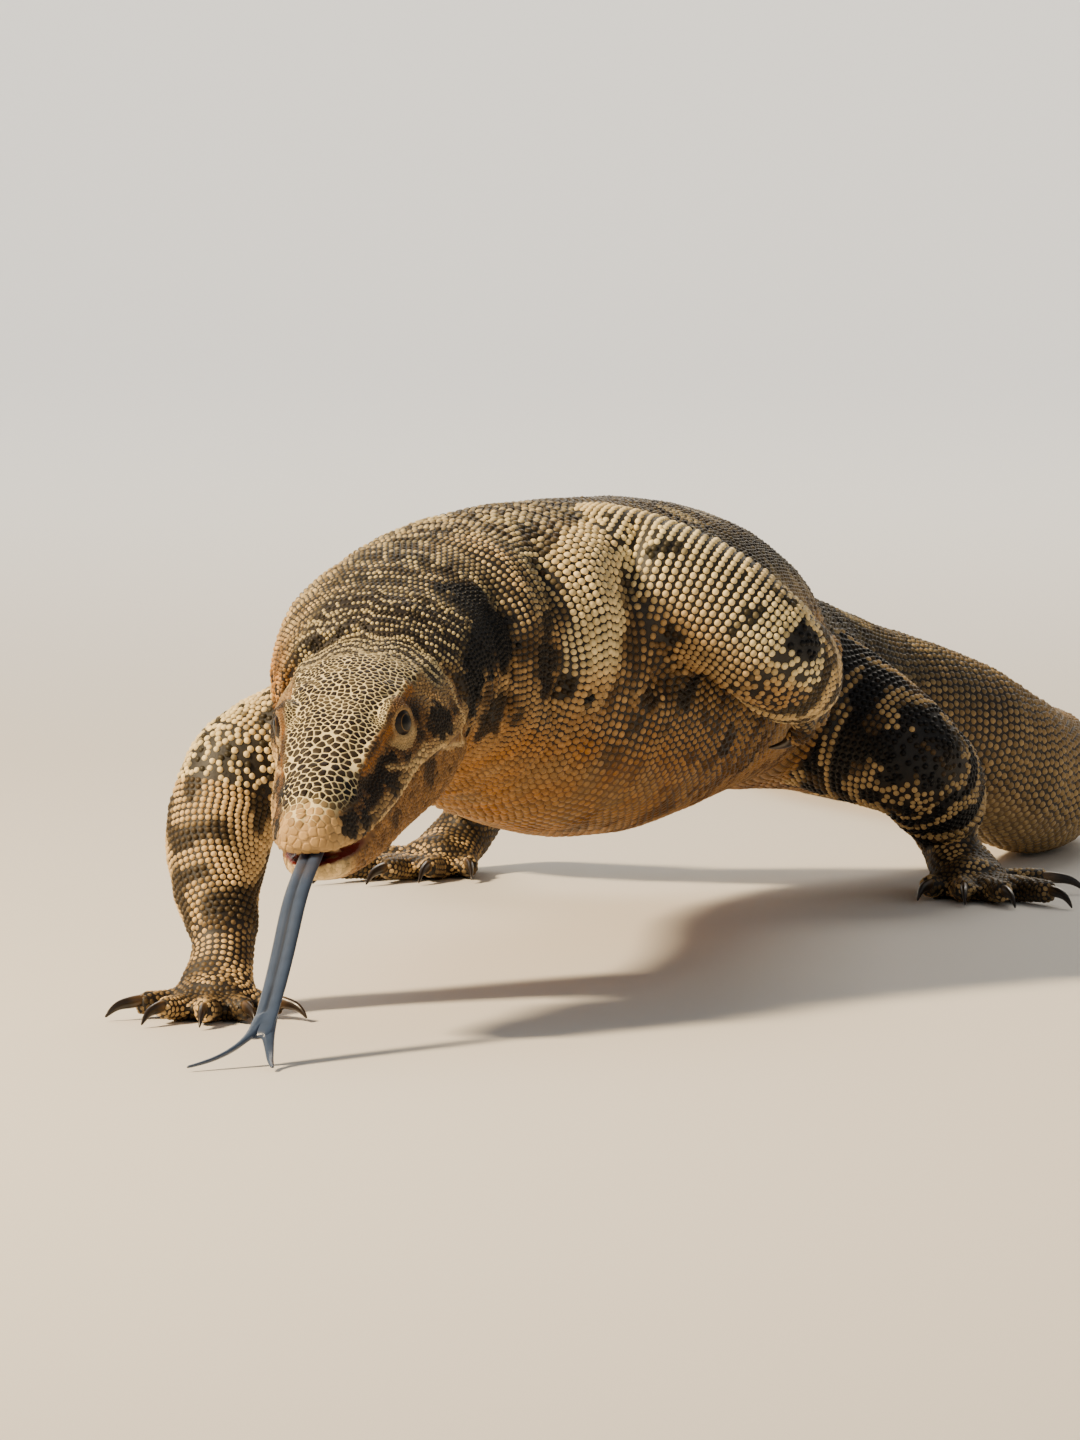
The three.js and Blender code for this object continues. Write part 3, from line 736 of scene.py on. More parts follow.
def shape_body(points, owner, place, theta):
    """Outward movement of each point of the body's skin: creases, folds of the neck and loose skin."""
    lift = sum(ridge(points, line, width, height) for line, width, height in BODY_FORMS)
    on_spine = lies_on(owner, "spine")
    neck = on_spine * (1 - smoothstep(70, 120, place))
    under = smoothstep(20, -40, theta) + smoothstep(160, 220, np.where(theta < 0, theta + 360, theta))
    folds = np.sin(place / GULAR_FOLD * 2 * math.pi + 2.2 * grain(points, 26, 3))
    lift = lift + neck * folds * (0.22 + 0.35 * np.clip(under, 0, 1))
    return lift + 0.35 * grain(points, 13, 7)


def refine_near(mesh, centres, radius, levels):
    """Cuts the faces near these points into four, level by level."""
    bm = bmesh.new()
    bm.from_mesh(mesh)
    for level in range(levels):
        reach = radius * (1 - 0.18 * level)
        edges = {edge for face in bm.faces for edge in face.edges
                 if min((face.calc_center_median() - c).length for c in centres) < reach}
        bmesh.ops.subdivide_edges(bm, edges=list(edges), cuts=1, use_grid_fill=True)
    bmesh.ops.triangulate(bm, faces=[f for f in bm.faces if len(f.verts) > 4])
    bm.to_mesh(mesh)
    bm.free()


EYE_CENTRES = {side: on_head((side * EYE_SIDE, EYE_AT, EYE_HEIGHT)) for side in (1, -1)}


def coat_depth_at(owner):
    """How far the skin lies inside the solids: least on the face and the feet, where scales are thin."""
    full = bpy.context.scene.lizard_skin.coat_depth / MM
    depth = np.where(lies_on(owner, "palm", "digit"), full * 0.6, full)
    return np.where(lies_on(owner, "head"), full * 0.35, depth)


def shaped_skin():
    """The skin with its folds, and what each vertex belongs to."""
    mesh = base_skin()
    refine_near(mesh, [Vector(to_row(c)) for c in EYE_CENTRES.values()], 0.0105, 2)
    points = to_animal(coordinates(mesh))
    normals = vertex_normals(mesh)
    owner, place = claims(points)
    theta = np.zeros(len(points))
    for number, name in enumerate(PATH_NAMES):
        mine = owner == number
        theta[mine] = angle_round(PATHS[name], place[mine], points[mine])
    head = lies_on(owner, "head")
    points = points - normals * coat_depth_at(owner)[:, None]
    body_lift = shape_body(points, owner, place, theta) * ~head
    points = points + normals * body_lift[:, None]
    near_head = in_head(points)[:, 1] < 112
    near_head &= lies_on(owner, "head", "spine")
    placed = in_head(points)
    mirrored = np.abs(placed) * (1, 0, 0) + placed * (0, 1, 1)
    lift = sum(ridge(mirrored, line, width, height) for line, width, height in HEAD_FORMS) * near_head
    placed = placed + (normals @ HEAD_TURN) * lift[:, None]
    placed = np.where(head[:, None], shape_lids(placed), placed)
    set_coordinates(mesh, to_row(on_head(placed)))
    return mesh, owner, place, theta


class LIZARD_OT_skin(bpy.types.Operator):
    """One skin over all the flesh, with its folds, lids and lips"""
    bl_idname = "lizard.skin"
    bl_label = "Skin"

    def execute(self, context):
        mesh, owner, place, theta = shaped_skin()
        mesh.name = "skin"
        obj = new_object("skin", mesh)
        points = to_animal(coordinates(mesh))
        normals = vertex_normals(mesh)
        looks = skin_markings(points, normals, owner, place, theta)
        for name, values in looks.items():
            set_attribute(mesh, name, "FLOAT", values)
        finish_piece(obj, skin_material(), FLESH_NODES)
        return {"FINISHED"}


# Dark blotches on the animal's left side: middle in its millimetres, radius and strength.
BLOTCHES = [
    ((-19, 94, 108), 13, 1.0), ((-10, 106, 112), 11, 1.0), ((-15, 107, 88), 9, 0.9), ((-22, 88, 96), 9, 1.0),
    ((-20, 106, 122), 10, 1.0), ((-8, 112, 124), 6, 0.9), ((3, 122, 102), 7, 0.95), ((7, 126, 93), 7, 0.95),
    ((0, 126, 112), 5, 0.9), ((12, 137, 92), 5, 1.0), ((-4, 112, 84), 7, 0.8),
    ((33, 165, 88), 5, 0.9), ((46, 183, 90), 7.5, 0.95), ((60, 200, 86), 5, 0.8), ((28, 162, 80), 4, 0.8),
    ((57, 222, 70), 6.5, 0.9), ((64, 210, 78), 4, 0.9), ((80, 169, 105), 6.5, 1.0), ((76, 163, 112), 4, 0.9),
    ((38, 236, 62), 7, 0.6), ((62, 264, 60), 7, 0.8), ((40, 175, 78), 4, 0.7), ((22, 160, 70), 5, 0.5),
    ((54, 250, 50), 7, 0.5), ((97, 455, 80), 10, 1.0), ((104, 450, 64), 8, 1.0), ((116, 438, 48), 9, 1.0),
    ((130, 446, 50), 8, 0.9),
]
HEAD_BLOTCHES = [
    ((25.5, 73, 7), 6.0, 0.95), ((18.8, 40, 1.5), 3.6, 0.9), ((22, 66, -6.5), 4.4, 0.75),
    ((16.6, 41, -9.5), 3.4, 0.75), ((11.5, 10, 2), 4.2, 0.95), ((13.4, 19, -0.5), 4.0, 0.95),
    ((11.4, 20, 9.5), 4.2, 0.95), ((14.4, 28, 7.5), 3.6, 0.9),
    ((21, 52, 4.5), 2.8, 0.85), ((9, 9.5, -9.2), 1.8, 0.6), ((22.5, 62, 6.5), 2.4, 0.7),
]


def blotched(points, blotches, grain_size=5.5):
    """How strongly each point lies in one of the blotches, from 0 to 1."""
    total = np.zeros(len(points))
    ragged = grain(points, grain_size, 21) * 0.3 + grain(points, grain_size * 0.4, 61) * 0.16
    for middle, radius, strength in blotches:
        apart = np.linalg.norm(points - np.array(middle, float), axis=1) / radius + ragged
        total = np.maximum(total, strength * (1 - smoothstep(0.8, 1.05, apart)))
    return total


def bands(position, spacing, share):
    """Soft bands along a length: 1 in the band, 0 between."""
    wave = 0.5 + 0.5 * np.cos(2 * math.pi * position / spacing)
    return smoothstep(1 - share - 0.12, 1 - share + 0.12, wave)


# Places along the spine's line, in millimetres from the back of the head, between which looks change.
NECK_ENDS, TAIL_STARTS, BANDS_START = (95, 135), (430, 570), (600, 680)
KEELS_FROM, BELLY_PLATES_FROM = 125, 100
# The lifted arm's shoulder swells out of the body, and carries the arm's pale beads.
SHOULDER = [(24, 166, 144), (16, 147, 130), (15, 144, 114), (12, 140, 98)]


def body_looks(points, owner, place, theta):
    """How pale, how warm and how black the scales are at points of the body."""
    count = len(points)
    lift = np.sin(np.radians(theta))
    rough = grain(points, 9, 5)
    broad = grain(points, 24, 15)
    fine = grain(points, 3.2, 25)
    pale, warm, black = np.full(count, 0.3), np.full(count, 0.4), np.zeros(count)

    spine = lies_on(owner, "head", "spine")
    neck = spine * (1 - smoothstep(*NECK_ENDS, place))
    tail = spine * smoothstep(*TAIL_STARTS, place + 10 * rough)
    trunk = spine * (1 - neck) * (1 - tail)
    dorsal = smoothstep(0.1, 0.6, lift)
    ventral = smoothstep(-0.15, -0.6, lift)
    flank = (1 - dorsal) * (1 - ventral)
    wavy = place + 2.4 * rough + 5 * np.sin(np.radians(3 * theta))
    rows = 0.5 + 0.5 * np.sin(2 * math.pi * wavy / 7.5)
    spots = np.cos(2 * math.pi * place / 38) + np.cos(math.radians(1) * theta * 9)
    spots = smoothstep(0.9, 1.35, spots + 0.5 * rough)
    # Painted sunlight: the lizard's right side of the neck near the head is drawn paler and warmer, as if
    # lit; the golden band high on its left side is its own colour.
    painted_sunlight = smoothstep(78, 38, theta) * smoothstep(-60, 0, theta)
    golden = np.exp(-((place - 57) / 7.5) ** 2) * smoothstep(95, 112, theta) * smoothstep(165, 145, theta)
    painted_sun_and_golden_band = np.maximum(0.75 * painted_sunlight * (1 - smoothstep(30, 90, place)), golden)
    pale = np.where(spine, 0.06 + 0.07 * fine, pale)
    dotted = smoothstep(-0.15, 0.3, 0.8 * fine + 0.7 * (rows - 0.5))
    dotted = dotted * smoothstep(-0.8, -0.1, broad + 0.6 * rough)
    pale = pale + neck * dorsal * (0.02 + 0.5 * dotted)
    pale = blend(pale, 0.8 + 0.16 * fine, painted_sun_and_golden_band * neck * (0.35 + 0.65 * smoothstep(0.2, 0.5, rows)))
    pale = pale + trunk * dorsal * (0.34 * spots + 0.1 * smoothstep(0.5, 0.9, rows) - 0.02)
    side_pale = flank * (0.4 + 0.16 * fine) + ventral * (0.6 + 0.12 * rough)
    pale = np.where(spine, pale + side_pale * (1 - 0.62 * tail), pale)
    warm = np.where(spine, 0.16 + 0.66 * ventral + 0.5 * flank + 0.1 * rough + 0.25 * neck * painted_sun_and_golden_band, warm)
    warm = blend(warm, 0.5, tail)
    speckle = smoothstep(0.2, 0.5, rough + 0.5 * broad) * (0.85 * flank + 0.6 * ventral)
    freckles = 0.7 * neck * flank * smoothstep(0.1, 0.4, rough)
    black = np.where(spine, np.maximum(speckle * trunk, freckles), black)
    black = np.maximum(black, 0.35 * spine * dorsal * trunk)
    tail_bands = bands(place - 640, 74, 0.42) * smoothstep(*BANDS_START, place)
    pale = np.where(spine, pale + tail * (0.26 + 0.24 * tail_bands) * (1 - 0.3 * ventral), pale)
    shoulder = spine * (1 - smoothstep(0.8, 1.0, near_line(points, SHOULDER) / 15 + 0.1 * rough))
    low_down = smoothstep(104, 92, points[:, 2])
    pale = blend(pale, 0.9 + 0.16 * fine - 0.2 * low_down, shoulder)
    warm = blend(warm, 0.22 + 0.4 * low_down, shoulder)
    black = black * (1 - shoulder)

    for limb in LIMB_LINES:
        upper = lies_on(owner, limb + "_upper")
        lower = lies_on(owner, limb + "_lower")
        end = lies_on(owner, limb + "_palm", limb + "_digit")
        if limb.startswith("arm"):
            shaded = smoothstep(0.2, -0.6, lift)
            pale = np.where(upper, 0.92 + 0.14 * fine - 0.3 * shaded, pale)
            warm = np.where(upper, 0.18 + 0.14 * broad + 0.4 * shaded, warm)
            freckles = rough - 0.25 + 0.4 * fine if limb == "arm_left" else 0.4 * rough + 0.9 * fine
            black = np.where(upper, smoothstep(0.3, 0.5, freckles) * 0.95, black)
            clusters = smoothstep(-0.3, 0.1, rough)
            pale = np.where(lower, 0.25 + 0.62 * clusters, pale)
            warm = np.where(lower, 0.45, warm)
            black = np.where(lower, (1 - clusters) * 0.7, black)
        else:
            strip = bands(place + 9 * broad + 3 * rough, 17, 0.27)
            pale = np.where(upper | lower, 0.1 + 0.56 * strip, pale)
            warm = np.where(upper | lower, 0.5, warm)
            black = np.where(upper | lower, (1 - strip) * smoothstep(-0.6, -0.1, rough), black)
        pale = np.where(end, 0.3 + 0.5 * smoothstep(0.15, 0.5, rough), pale)
        warm = np.where(end, 0.5, warm)
        black = np.where(end, 0.6 * smoothstep(0.1, -0.35, rough), black)
    black = np.maximum(black, blotched(points, BLOTCHES))
    return np.clip(pale, 0, 1), np.clip(warm, 0, 1), np.clip(black, 0, 1)


def head_zones(placed, normals):
    """Shares of the head's surface: its top, the snout's front, its lips, and the jaw below them."""
    up = normals[:, 2]
    x, y, z = np.abs(placed[:, 0]), placed[:, 1], placed[:, 2]
    brow = np.interp(y, [p[1] for p in BROW_LINE + TEMPLE_LINE], [p[0] for p in BROW_LINE + TEMPLE_LINE])
    top = smoothstep(1.2, -0.6, x - brow) * smoothstep(0.25, 0.5, up)
    top = top * smoothstep(4, 9, z) * smoothstep(89, 82, y)
    front = 1 - smoothstep(10, 17, y + 0.25 * z + 0.25 * x)
    lips = smoothstep(3.6, 2.4, np.abs(z - lip_level(y) - 2.6))
    lips = lips * smoothstep(0.7, 0.85, x / np.maximum(lip_half(y), 1))
    jaw = smoothstep(-0.4, -1.6, z - lip_level(y))
    return top, front, lips * (1 - top) * (1 - front), jaw


# Thin pale lines on the side of the face, by distance back and height.
CHEEK_LINES = [
    [(26, -3.6), (36, -3.4), (44, -1.4), (52, 0.0), (60, 0.9), (70, 0.3), (76, -3.0)],
    [(43, 5.5), (50, 2.6), (56, 1.8), (63, 3.6)],
    [(99, 13.4), (92, 11), (86, 7), (86, 0), (90, -7), (93, -10)],
    [(68, 0.0), (77, -3.6), (85, -6.5), (91, -9.0)],
]


def nape_waves(placed):
    """Wavy rows of pale and dark beads across the nape, for points of the head's frame."""
    x, y = placed[:, 0], placed[:, 1]
    wave = np.sin(2 * math.pi * (y + 2.2 * np.sin(x / 2.6) + 0.9 * grain(placed, 9, 51)) / 4.4)
    return smoothstep(-0.1, 0.5, wave)


def head_looks(placed, normals):
    """How pale, warm and black the plates and grains of the head are."""
    top, front, lips, jaw = head_zones(placed, normals)
    x, y, z = np.abs(placed[:, 0]), placed[:, 1], placed[:, 2]
    folded = np.column_stack([x, y, z])
    rough = grain(placed, 6, 31)
    fine = grain(placed, 2.2, 41)
    pale = 0.28 + 0.22 * rough + 0.1 * fine
    warm = np.full(len(x), 0.8)
    black = 0.94 * smoothstep(-0.2, 0.12, rough + 0.45 * fine + 0.24 * smoothstep(50, 34, y))
    behind = smoothstep(66, 74, y) * smoothstep(5, 10, z) * (1 - top)
    pale = blend(pale, 0.42 + 0.22 * fine, behind)
    warm = blend(warm, 0.6, behind)
    black = black * (1 - 0.85 * behind)
    lit = smoothstep(0.25, 0.6, rough) * smoothstep(48, 60, y)
    pale = blend(pale, 0.02 + 0.04 * fine + 0.12 * lit, top)
    warm = blend(warm, 0.2, top)
    black = blend(black, 0.3, top)
    pale = blend(pale, 0.72 + 0.16 * fine + 0.1 * rough, front)
    warm = blend(warm, 0.62, front)
    black = black * (1 - front)
    brow = ridge(folded, [(px + 1.1, py, pz - 1.1) for px, py, pz in BROW_LINE], 2.0, 1.0)
    pale = blend(pale, 0.5, brow)
    warm = blend(warm, 1.0, brow)
    black = black * (1 - brow)
    # Painted sunlight: the jaw's front, within 16 mm of the snout tip, is drawn paler and less warm, as if
    # sunlit.
    pale = blend(pale, 0.38 + 0.24 * fine + 0.5 * smoothstep(16, 8, y), jaw)
    warm = blend(warm, 0.82 - 0.4 * smoothstep(16, 8, y), jaw)
    black = black * (1 - 0.85 * jaw)
    pale = blend(pale, 0.6 + 0.1 * fine, lips)
    warm = blend(warm, 0.6, lips)
    black = black * (1 - 0.7 * lips)
    nape = smoothstep(80, 85, y) * (1 - jaw) * smoothstep(10, 15, z)
    pale = blend(pale, 0.04 + 0.8 * nape_waves(placed), nape)
    warm = blend(warm, 0.1, nape)
    black = blend(black, 0.3, nape)
    black = np.maximum(black, blotched(folded, HEAD_BLOTCHES, 2.6))
    beside = smoothstep(6, 9, x) * (1 - top)
    lines = np.max([ridge(folded[:, 1:], line, 0.95, 1.0) for line in CHEEK_LINES], axis=0) * beside
    pale = blend(pale, 0.8, lines)
    warm = blend(warm, 0.45, lines)
    black = black * (1 - lines)
    for side in (1, -1):
        _, distance, share, high = eye_angles(placed, side)
        near = distance < EYE_RADIUS + 3.2
        lid = smoothstep(1.32, 1.2, share) * near
        pouch = smoothstep(2.0, 1.7, share) * smoothstep(-0.25, -0.7, high) * near
        rim = smoothstep(0.3, 0.05, np.abs(share - 2.15)) * near
        pale = blend(pale, 0.06, rim)
        black = np.maximum(black * (1 - rim), 0.7 * rim * smoothstep(0.4, -0.2, high))
        pale = blend(pale, 0.5, np.maximum(0.5 * lid, pouch))
        warm = blend(warm, 0.45, np.maximum(0.5 * lid, pouch))
        black = black * (1 - np.maximum(lid, pouch))
    return np.clip(pale, 0, 1), np.clip(warm, 0, 1), np.clip(black, 0, 1)


def looks_at(points, normals, owner, place, theta):
    """How pale, warm and black the coat is at any points, head and body alike, and how much head there is."""
    pale, warm, black = body_looks(points, owner, place, theta)
    placed = in_head(points)
    head = (owner == 0) | ((owner == 1) & (placed[:, 1] < 128))
    nape_end = 104 + 22 * smoothstep(8, 20, placed[:, 2]) * smoothstep(-26, -14, placed[:, 0])
    share = head * (1 - smoothstep(nape_end - 10, nape_end, placed[:, 1]))
    head_pale, head_warm, head_black = head_looks(placed, normals @ HEAD_TURN)
    pale = blend(pale, head_pale, share)
    warm = blend(warm, head_warm, share)
    black = blend(black, head_black, share)
    return pale, warm, black, share


def skin_markings(points, normals, owner, place, theta):
    """The looks of the skin between the scales, which is darker than they are but for the head's pale net."""
    pale, warm, black, share = looks_at(points, normals, owner, place, theta)
    placed = in_head(points)
    turned = normals @ HEAD_TURN
    top, front, _, jaw = head_zones(placed, turned)
    x, y, z = np.abs(placed[:, 0]), placed[:, 1], placed[:, 2]
    net = share * top
    dark_nape = share * smoothstep(80, 88, y) * (1 - jaw)
    under = belly_share(theta % 360) * lies_on(owner, "spine")
    dull = 0.12 + 0.42 * under + 0.55 * share * np.maximum(front, jaw) + 0.2 * share
    lids = np.zeros(len(points))
    for side in (1, -1):
        _, distance, off_axis, _ = eye_angles(placed, side)
        lids = np.maximum(lids, smoothstep(2.1, 1.8, off_axis) * (distance < EYE_RADIUS + 3))
    dull = np.clip(dull + lids * share, 0, 1)
    pale = pale * dull + (0.95 - pale * dull) * net
    warm = blend(warm, 0.05, net)
    pale = pale * (1 - dark_nape)
    black = np.maximum(black, 0.85 * (1 - share) * (1 - under)) * (1 - net)
    within = smoothstep(1.0, 2.4, lip_half(y) - x)
    level = z - lip_level(y)
    floor_of_mouth = smoothstep(0.45, 0.8, turned[:, 2]) * smoothstep(0.4, -0.4, level)
    roof_of_mouth = smoothstep(-0.45, -0.8, turned[:, 2]) * smoothstep(-3.4, -2.4, level)
    lining = within * np.maximum(floor_of_mouth, roof_of_mouth) * (owner == 0) * smoothstep(52, 40, y)
    return {"pale": pale, "warm": warm, "black": black, "lining": lining}


# The sockets of a Mix node that take and give colours.
MIX_FACTOR, MIX_FIRST, MIX_SECOND, MIX_RESULT = 0, 6, 7, 2


def uneven(tree, colour, *patterns):
    """The colour made darker and lighter by each pattern, between a least and a most."""
    for pattern, least, most in patterns:
        factor = add_node(tree, "ShaderNodeMapRange", {}, {"Value": pattern, "To Min": least, "To Max": most})
        scaled = add_node(tree, "ShaderNodeVectorMath", {"operation": "SCALE"}, {
            0: colour, "Scale": factor.outputs["Result"]})
        colour = scaled.outputs["Vector"]
    return colour


def finish_surface(tree, inputs, relief=None, strength=0.0, depth=0.0):
    """Ends a material's tree with its shader, over a relief of this depth in millimetres."""
    if relief is not None:
        bump = add_node(tree, "ShaderNodeBump", {}, {
            "Height": relief, "Strength": strength, "Distance": depth * MM})
        inputs = {**inputs, "Normal": bump.outputs["Normal"]}
    shader = add_node(tree, "ShaderNodeBsdfPrincipled", {}, inputs)
    add_node(tree, "ShaderNodeOutputMaterial", {}, {"Surface": shader.outputs["BSDF"]})


def marked_colour(tree, colours):
    """Brown to cream or ochre, then to black, by the piece's own markings."""
    pale, warm, black = (
        add_node(tree, "ShaderNodeAttribute", {"attribute_name": name}).outputs["Fac"]
        for name in ("pale", "warm", "black"))
    rgba = {"data_type": "RGBA"}
    light = add_node(tree, "ShaderNodeMix", rgba, {
        MIX_FACTOR: warm, MIX_FIRST: colours.cream, MIX_SECOND: colours.ochre})
    dark = add_node(tree, "ShaderNodeMix", rgba, {
        MIX_FACTOR: warm, MIX_FIRST: colours.brown, MIX_SECOND: colours.umber})
    base = add_node(tree, "ShaderNodeMix", rgba, {
        MIX_FACTOR: pale, MIX_FIRST: dark.outputs[MIX_RESULT], MIX_SECOND: light.outputs[MIX_RESULT]})
    marked = add_node(tree, "ShaderNodeMix", rgba, {
        MIX_FACTOR: black, MIX_FIRST: base.outputs[MIX_RESULT], MIX_SECOND: colours.black})
    return marked.outputs[MIX_RESULT]


def skin_material():
    """Bare skin between the scales: finely wrinkled and dull, wet and dark red inside the mouth."""
    colours = bpy.context.scene.lizard_colours
    material, tree = new_material("bare_reptile_skin")
    place = add_node(tree, "ShaderNodeTexCoord").outputs["Object"]
    # Real wrinkles are about 0.3 mm apart. They are drawn at 0.9 mm, the finest that shows.
    wrinkles = add_node(tree, "ShaderNodeTexNoise", {}, {
        "Vector": place, "Scale": 1 / (0.9 * MM), "Detail": 3.0}).outputs["Fac"]
    mottle = add_node(tree, "ShaderNodeTexNoise", {}, {
        "Vector": place, "Scale": 1 / (7 * MM), "Detail": 4.0}).outputs["Fac"]
    lining = add_node(tree, "ShaderNodeAttribute", {"attribute_name": "lining"}).outputs["Fac"]
    colour = add_node(tree, "ShaderNodeMix", {"data_type": "RGBA"}, {
        MIX_FACTOR: lining, MIX_FIRST: uneven(tree, marked_colour(tree, colours), (mottle, 0.72, 1.2)),
        MIX_SECOND: colours.mouth})
    roughness = add_node(tree, "ShaderNodeMapRange", {}, {"Value": lining, "To Min": 0.62, "To Max": 0.22})
    finish_surface(tree, {
        "Base Color": colour.outputs[MIX_RESULT], "Roughness": roughness.outputs["Result"]},
        wrinkles, 0.5, 0.25)
    return material


def scale_material():
    """Keratin of the scales: a low gloss that catches the light on each bead, with uneven tone."""
    colours = bpy.context.scene.lizard_colours
    material, tree = new_material("keratin_scales")
    place = add_node(tree, "ShaderNodeTexCoord").outputs["Object"]
    mottle = add_node(tree, "ShaderNodeTexNoise", {}, {
        "Vector": place, "Scale": 1 / (1.6 * MM), "Detail": 3.0}).outputs["Fac"]
    # The grain of real keratin is under 0.1 mm. It is drawn at 0.35 mm, the finest that shows.
    fine = add_node(tree, "ShaderNodeTexNoise", {}, {
        "Vector": place, "Scale": 1 / (0.35 * MM), "Detail": 2.0}).outputs["Fac"]
    vary = add_node(tree, "ShaderNodeAttribute", {"attribute_name": "vary"}).outputs["Fac"]
    colour = uneven(tree, marked_colour(tree, colours), (vary, 0.84, 1.24), (mottle, 0.8, 1.15))
    roughness = add_node(tree, "ShaderNodeMapRange", {}, {"Value": mottle, "To Min": 0.34, "To Max": 0.56})
    finish_surface(tree, {
        "Base Color": colour, "Roughness": roughness.outputs["Result"], "Specular IOR Level": 0.22},
        fine, 0.35, 0.08)
    return material


# Colours of the eyeball by the angle off its axis, in degrees: pupil, ring, iris and rim.
PUPIL_EDGE, RING_AT, IRIS_FROM, IRIS_TO, RIM_FROM, RIM_AT = 21, 22.5, 24.5, 30, 39, 43


def eye_material():
    """A wet dark eye: black pupil, thin golden ring and near-black iris under a clear cornea."""
    colours = bpy.context.scene.lizard_colours
    material, tree = new_material("wet_eye")
    gaze = add_node(tree, "ShaderNodeAttribute", {"attribute_name": "gaze"}).outputs["Fac"]
    place = add_node(tree, "ShaderNodeTexCoord").outputs["Object"]
    streaks = add_node(tree, "ShaderNodeTexNoise", {}, {
        "Vector": place, "Scale": 1 / (0.5 * MM), "Detail": 4.0}).outputs["Fac"]
    ramp = add_node(tree, "ShaderNodeValToRGB", {}, {"Fac": gaze})
    stops = ramp.color_ramp.elements
    stops[0].position, stops[0].color = 0.0, linear("#050404")
    stops[1].position, stops[1].color = 1.0, linear("#120C08")
    for angle, colour in (
        (PUPIL_EDGE, linear("#050404")), (RING_AT, tuple(colours.iris_ring)), (IRIS_FROM, linear("#20160C")),
        (IRIS_TO, tuple(colours.iris)), (RIM_FROM, linear("#0D0805")), (RIM_AT, linear("#3A2A18")),
    ):
        stops.new(angle / 90).color = colour
    finish_surface(tree, {
        "Base Color": uneven(tree, ramp.outputs["Color"], (streaks, 0.6, 1.4)), "Roughness": 0.4,
        "Specular IOR Level": 0.1, "Coat Weight": 0.3, "Coat Roughness": 0.04})
    return material


EYE_RINGS, EYE_ROUND = 28, 40


class LIZARD_OT_eyes(bpy.types.Operator):
    """Both eyeballs, each with its iris and a raised cornea"""
    bl_idname = "lizard.eyes"
    bl_label = "Eyes"

    def execute(self, context):
        material = eye_material()
        for side, name in ((1, "eye_left"), (-1, "eye_right")):
            axis = HEAD_TURN @ (EYE_AXIS * (side, 1, 1))
            back = unit(np.cross(axis, (0, 0, 1)))
            over = np.cross(back, axis)
            centre = EYE_CENTRES[side]
            vertices, gaze = [centre + axis * (EYE_RADIUS + 0.3)], [0.0]
            for i in range(1, EYE_RINGS):
                angle = math.pi * i / EYE_RINGS
                radius = EYE_RADIUS + 0.3 * float(smoothstep(math.radians(36), math.radians(20), angle))
                for k in range(EYE_ROUND):
                    a = 2 * math.pi * k / EYE_ROUND
                    spoke = back * math.cos(a) + over * math.sin(a)
                    vertices.append(centre + radius * (axis * math.cos(angle) + spoke * math.sin(angle)))
                    gaze.append(min(1.0, math.degrees(angle) / 90))
            vertices.append(centre - axis * EYE_RADIUS)
            gaze.append(1.0)
            mesh = mesh_from(name + "_ball", to_row(np.array(vertices)), ball_faces(EYE_RINGS, EYE_ROUND))
            set_attribute(mesh, "gaze", "FLOAT", gaze)
            face_outwards(mesh)
            finish_piece(new_object(name + "_ball", mesh), material, [name])
        return {"FINISHED"}


def ball_faces(rings, around):
    """Faces of a ball of rings with a pole at each end."""
    faces = []
    last = 1 + (rings - 1) * around
    for k in range(around):
        after = (k + 1) % around
        faces.append((0, 1 + k, 1 + after))
        for i in range(rings - 2):
            a, b = 1 + i * around, 1 + (i + 1) * around
            faces.append((a + k, b + k, b + after, a + after))
        faces.append((last, last - around + after, last - around + k))
    return faces


def face_outwards(mesh):
    bm = bmesh.new()
    bm.from_mesh(mesh)
    bmesh.ops.recalc_face_normals(bm, faces=bm.faces)
    bm.to_mesh(mesh)
    bm.free()


def smoothed_copy(name, levels):
    """A rounded copy of a CAD node, in the animal's millimetres."""
    mesh = flesh_copy([name], 0.0)
    bm = bmesh.new()
    bm.from_mesh(mesh)
    bmesh.ops.join_triangles(bm, faces=bm.faces, angle_face_threshold=0.7, angle_shape_threshold=0.9)
    bm.to_mesh(mesh)
    bm.free()
    obj = new_object(name + "_round", mesh)
    modifier = obj.modifiers.new("round", "SUBSURF")
    modifier.levels = modifier.render_levels = levels
    return settled_mesh(obj)


def tongue_material():
    """Moist muscle: slate blue with a soft gloss, mottled lengthwise, with painted shade in its groove and
    along its edges.
    """
    colours = bpy.context.scene.lizard_colours
    material, tree = new_material("moist_tongue")
    place = add_node(tree, "ShaderNodeTexCoord").outputs["Object"]
    mottle = add_node(tree, "ShaderNodeTexNoise", {}, {
        "Vector": place, "Scale": 1 / (4 * MM), "Detail": 4.0}).outputs["Fac"]
    # The tongue's own grain is about 0.2 mm. It is drawn at 0.5 mm, the finest that shows.
    fine = add_node(tree, "ShaderNodeTexNoise", {}, {
        "Vector": place, "Scale": 1 / (0.5 * MM), "Detail": 2.0}).outputs["Fac"]
    groove = add_node(tree, "ShaderNodeAttribute", {"attribute_name": "groove"}).outputs["Fac"]
    # Painted shade: the groove and the strap's edges are drawn near-black.
    base = add_node(tree, "ShaderNodeMix", {"data_type": "RGBA"}, {
        MIX_FACTOR: groove, MIX_FIRST: colours.tongue, MIX_SECOND: linear("#141B28")})
    finish_surface(tree, {
        "Base Color": uneven(tree, base.outputs[MIX_RESULT], (mottle, 0.7, 1.3)), "Roughness": 0.36,
        "Coat Weight": 0.35, "Coat Roughness": 0.2}, fine, 0.3, 0.12)
    return material


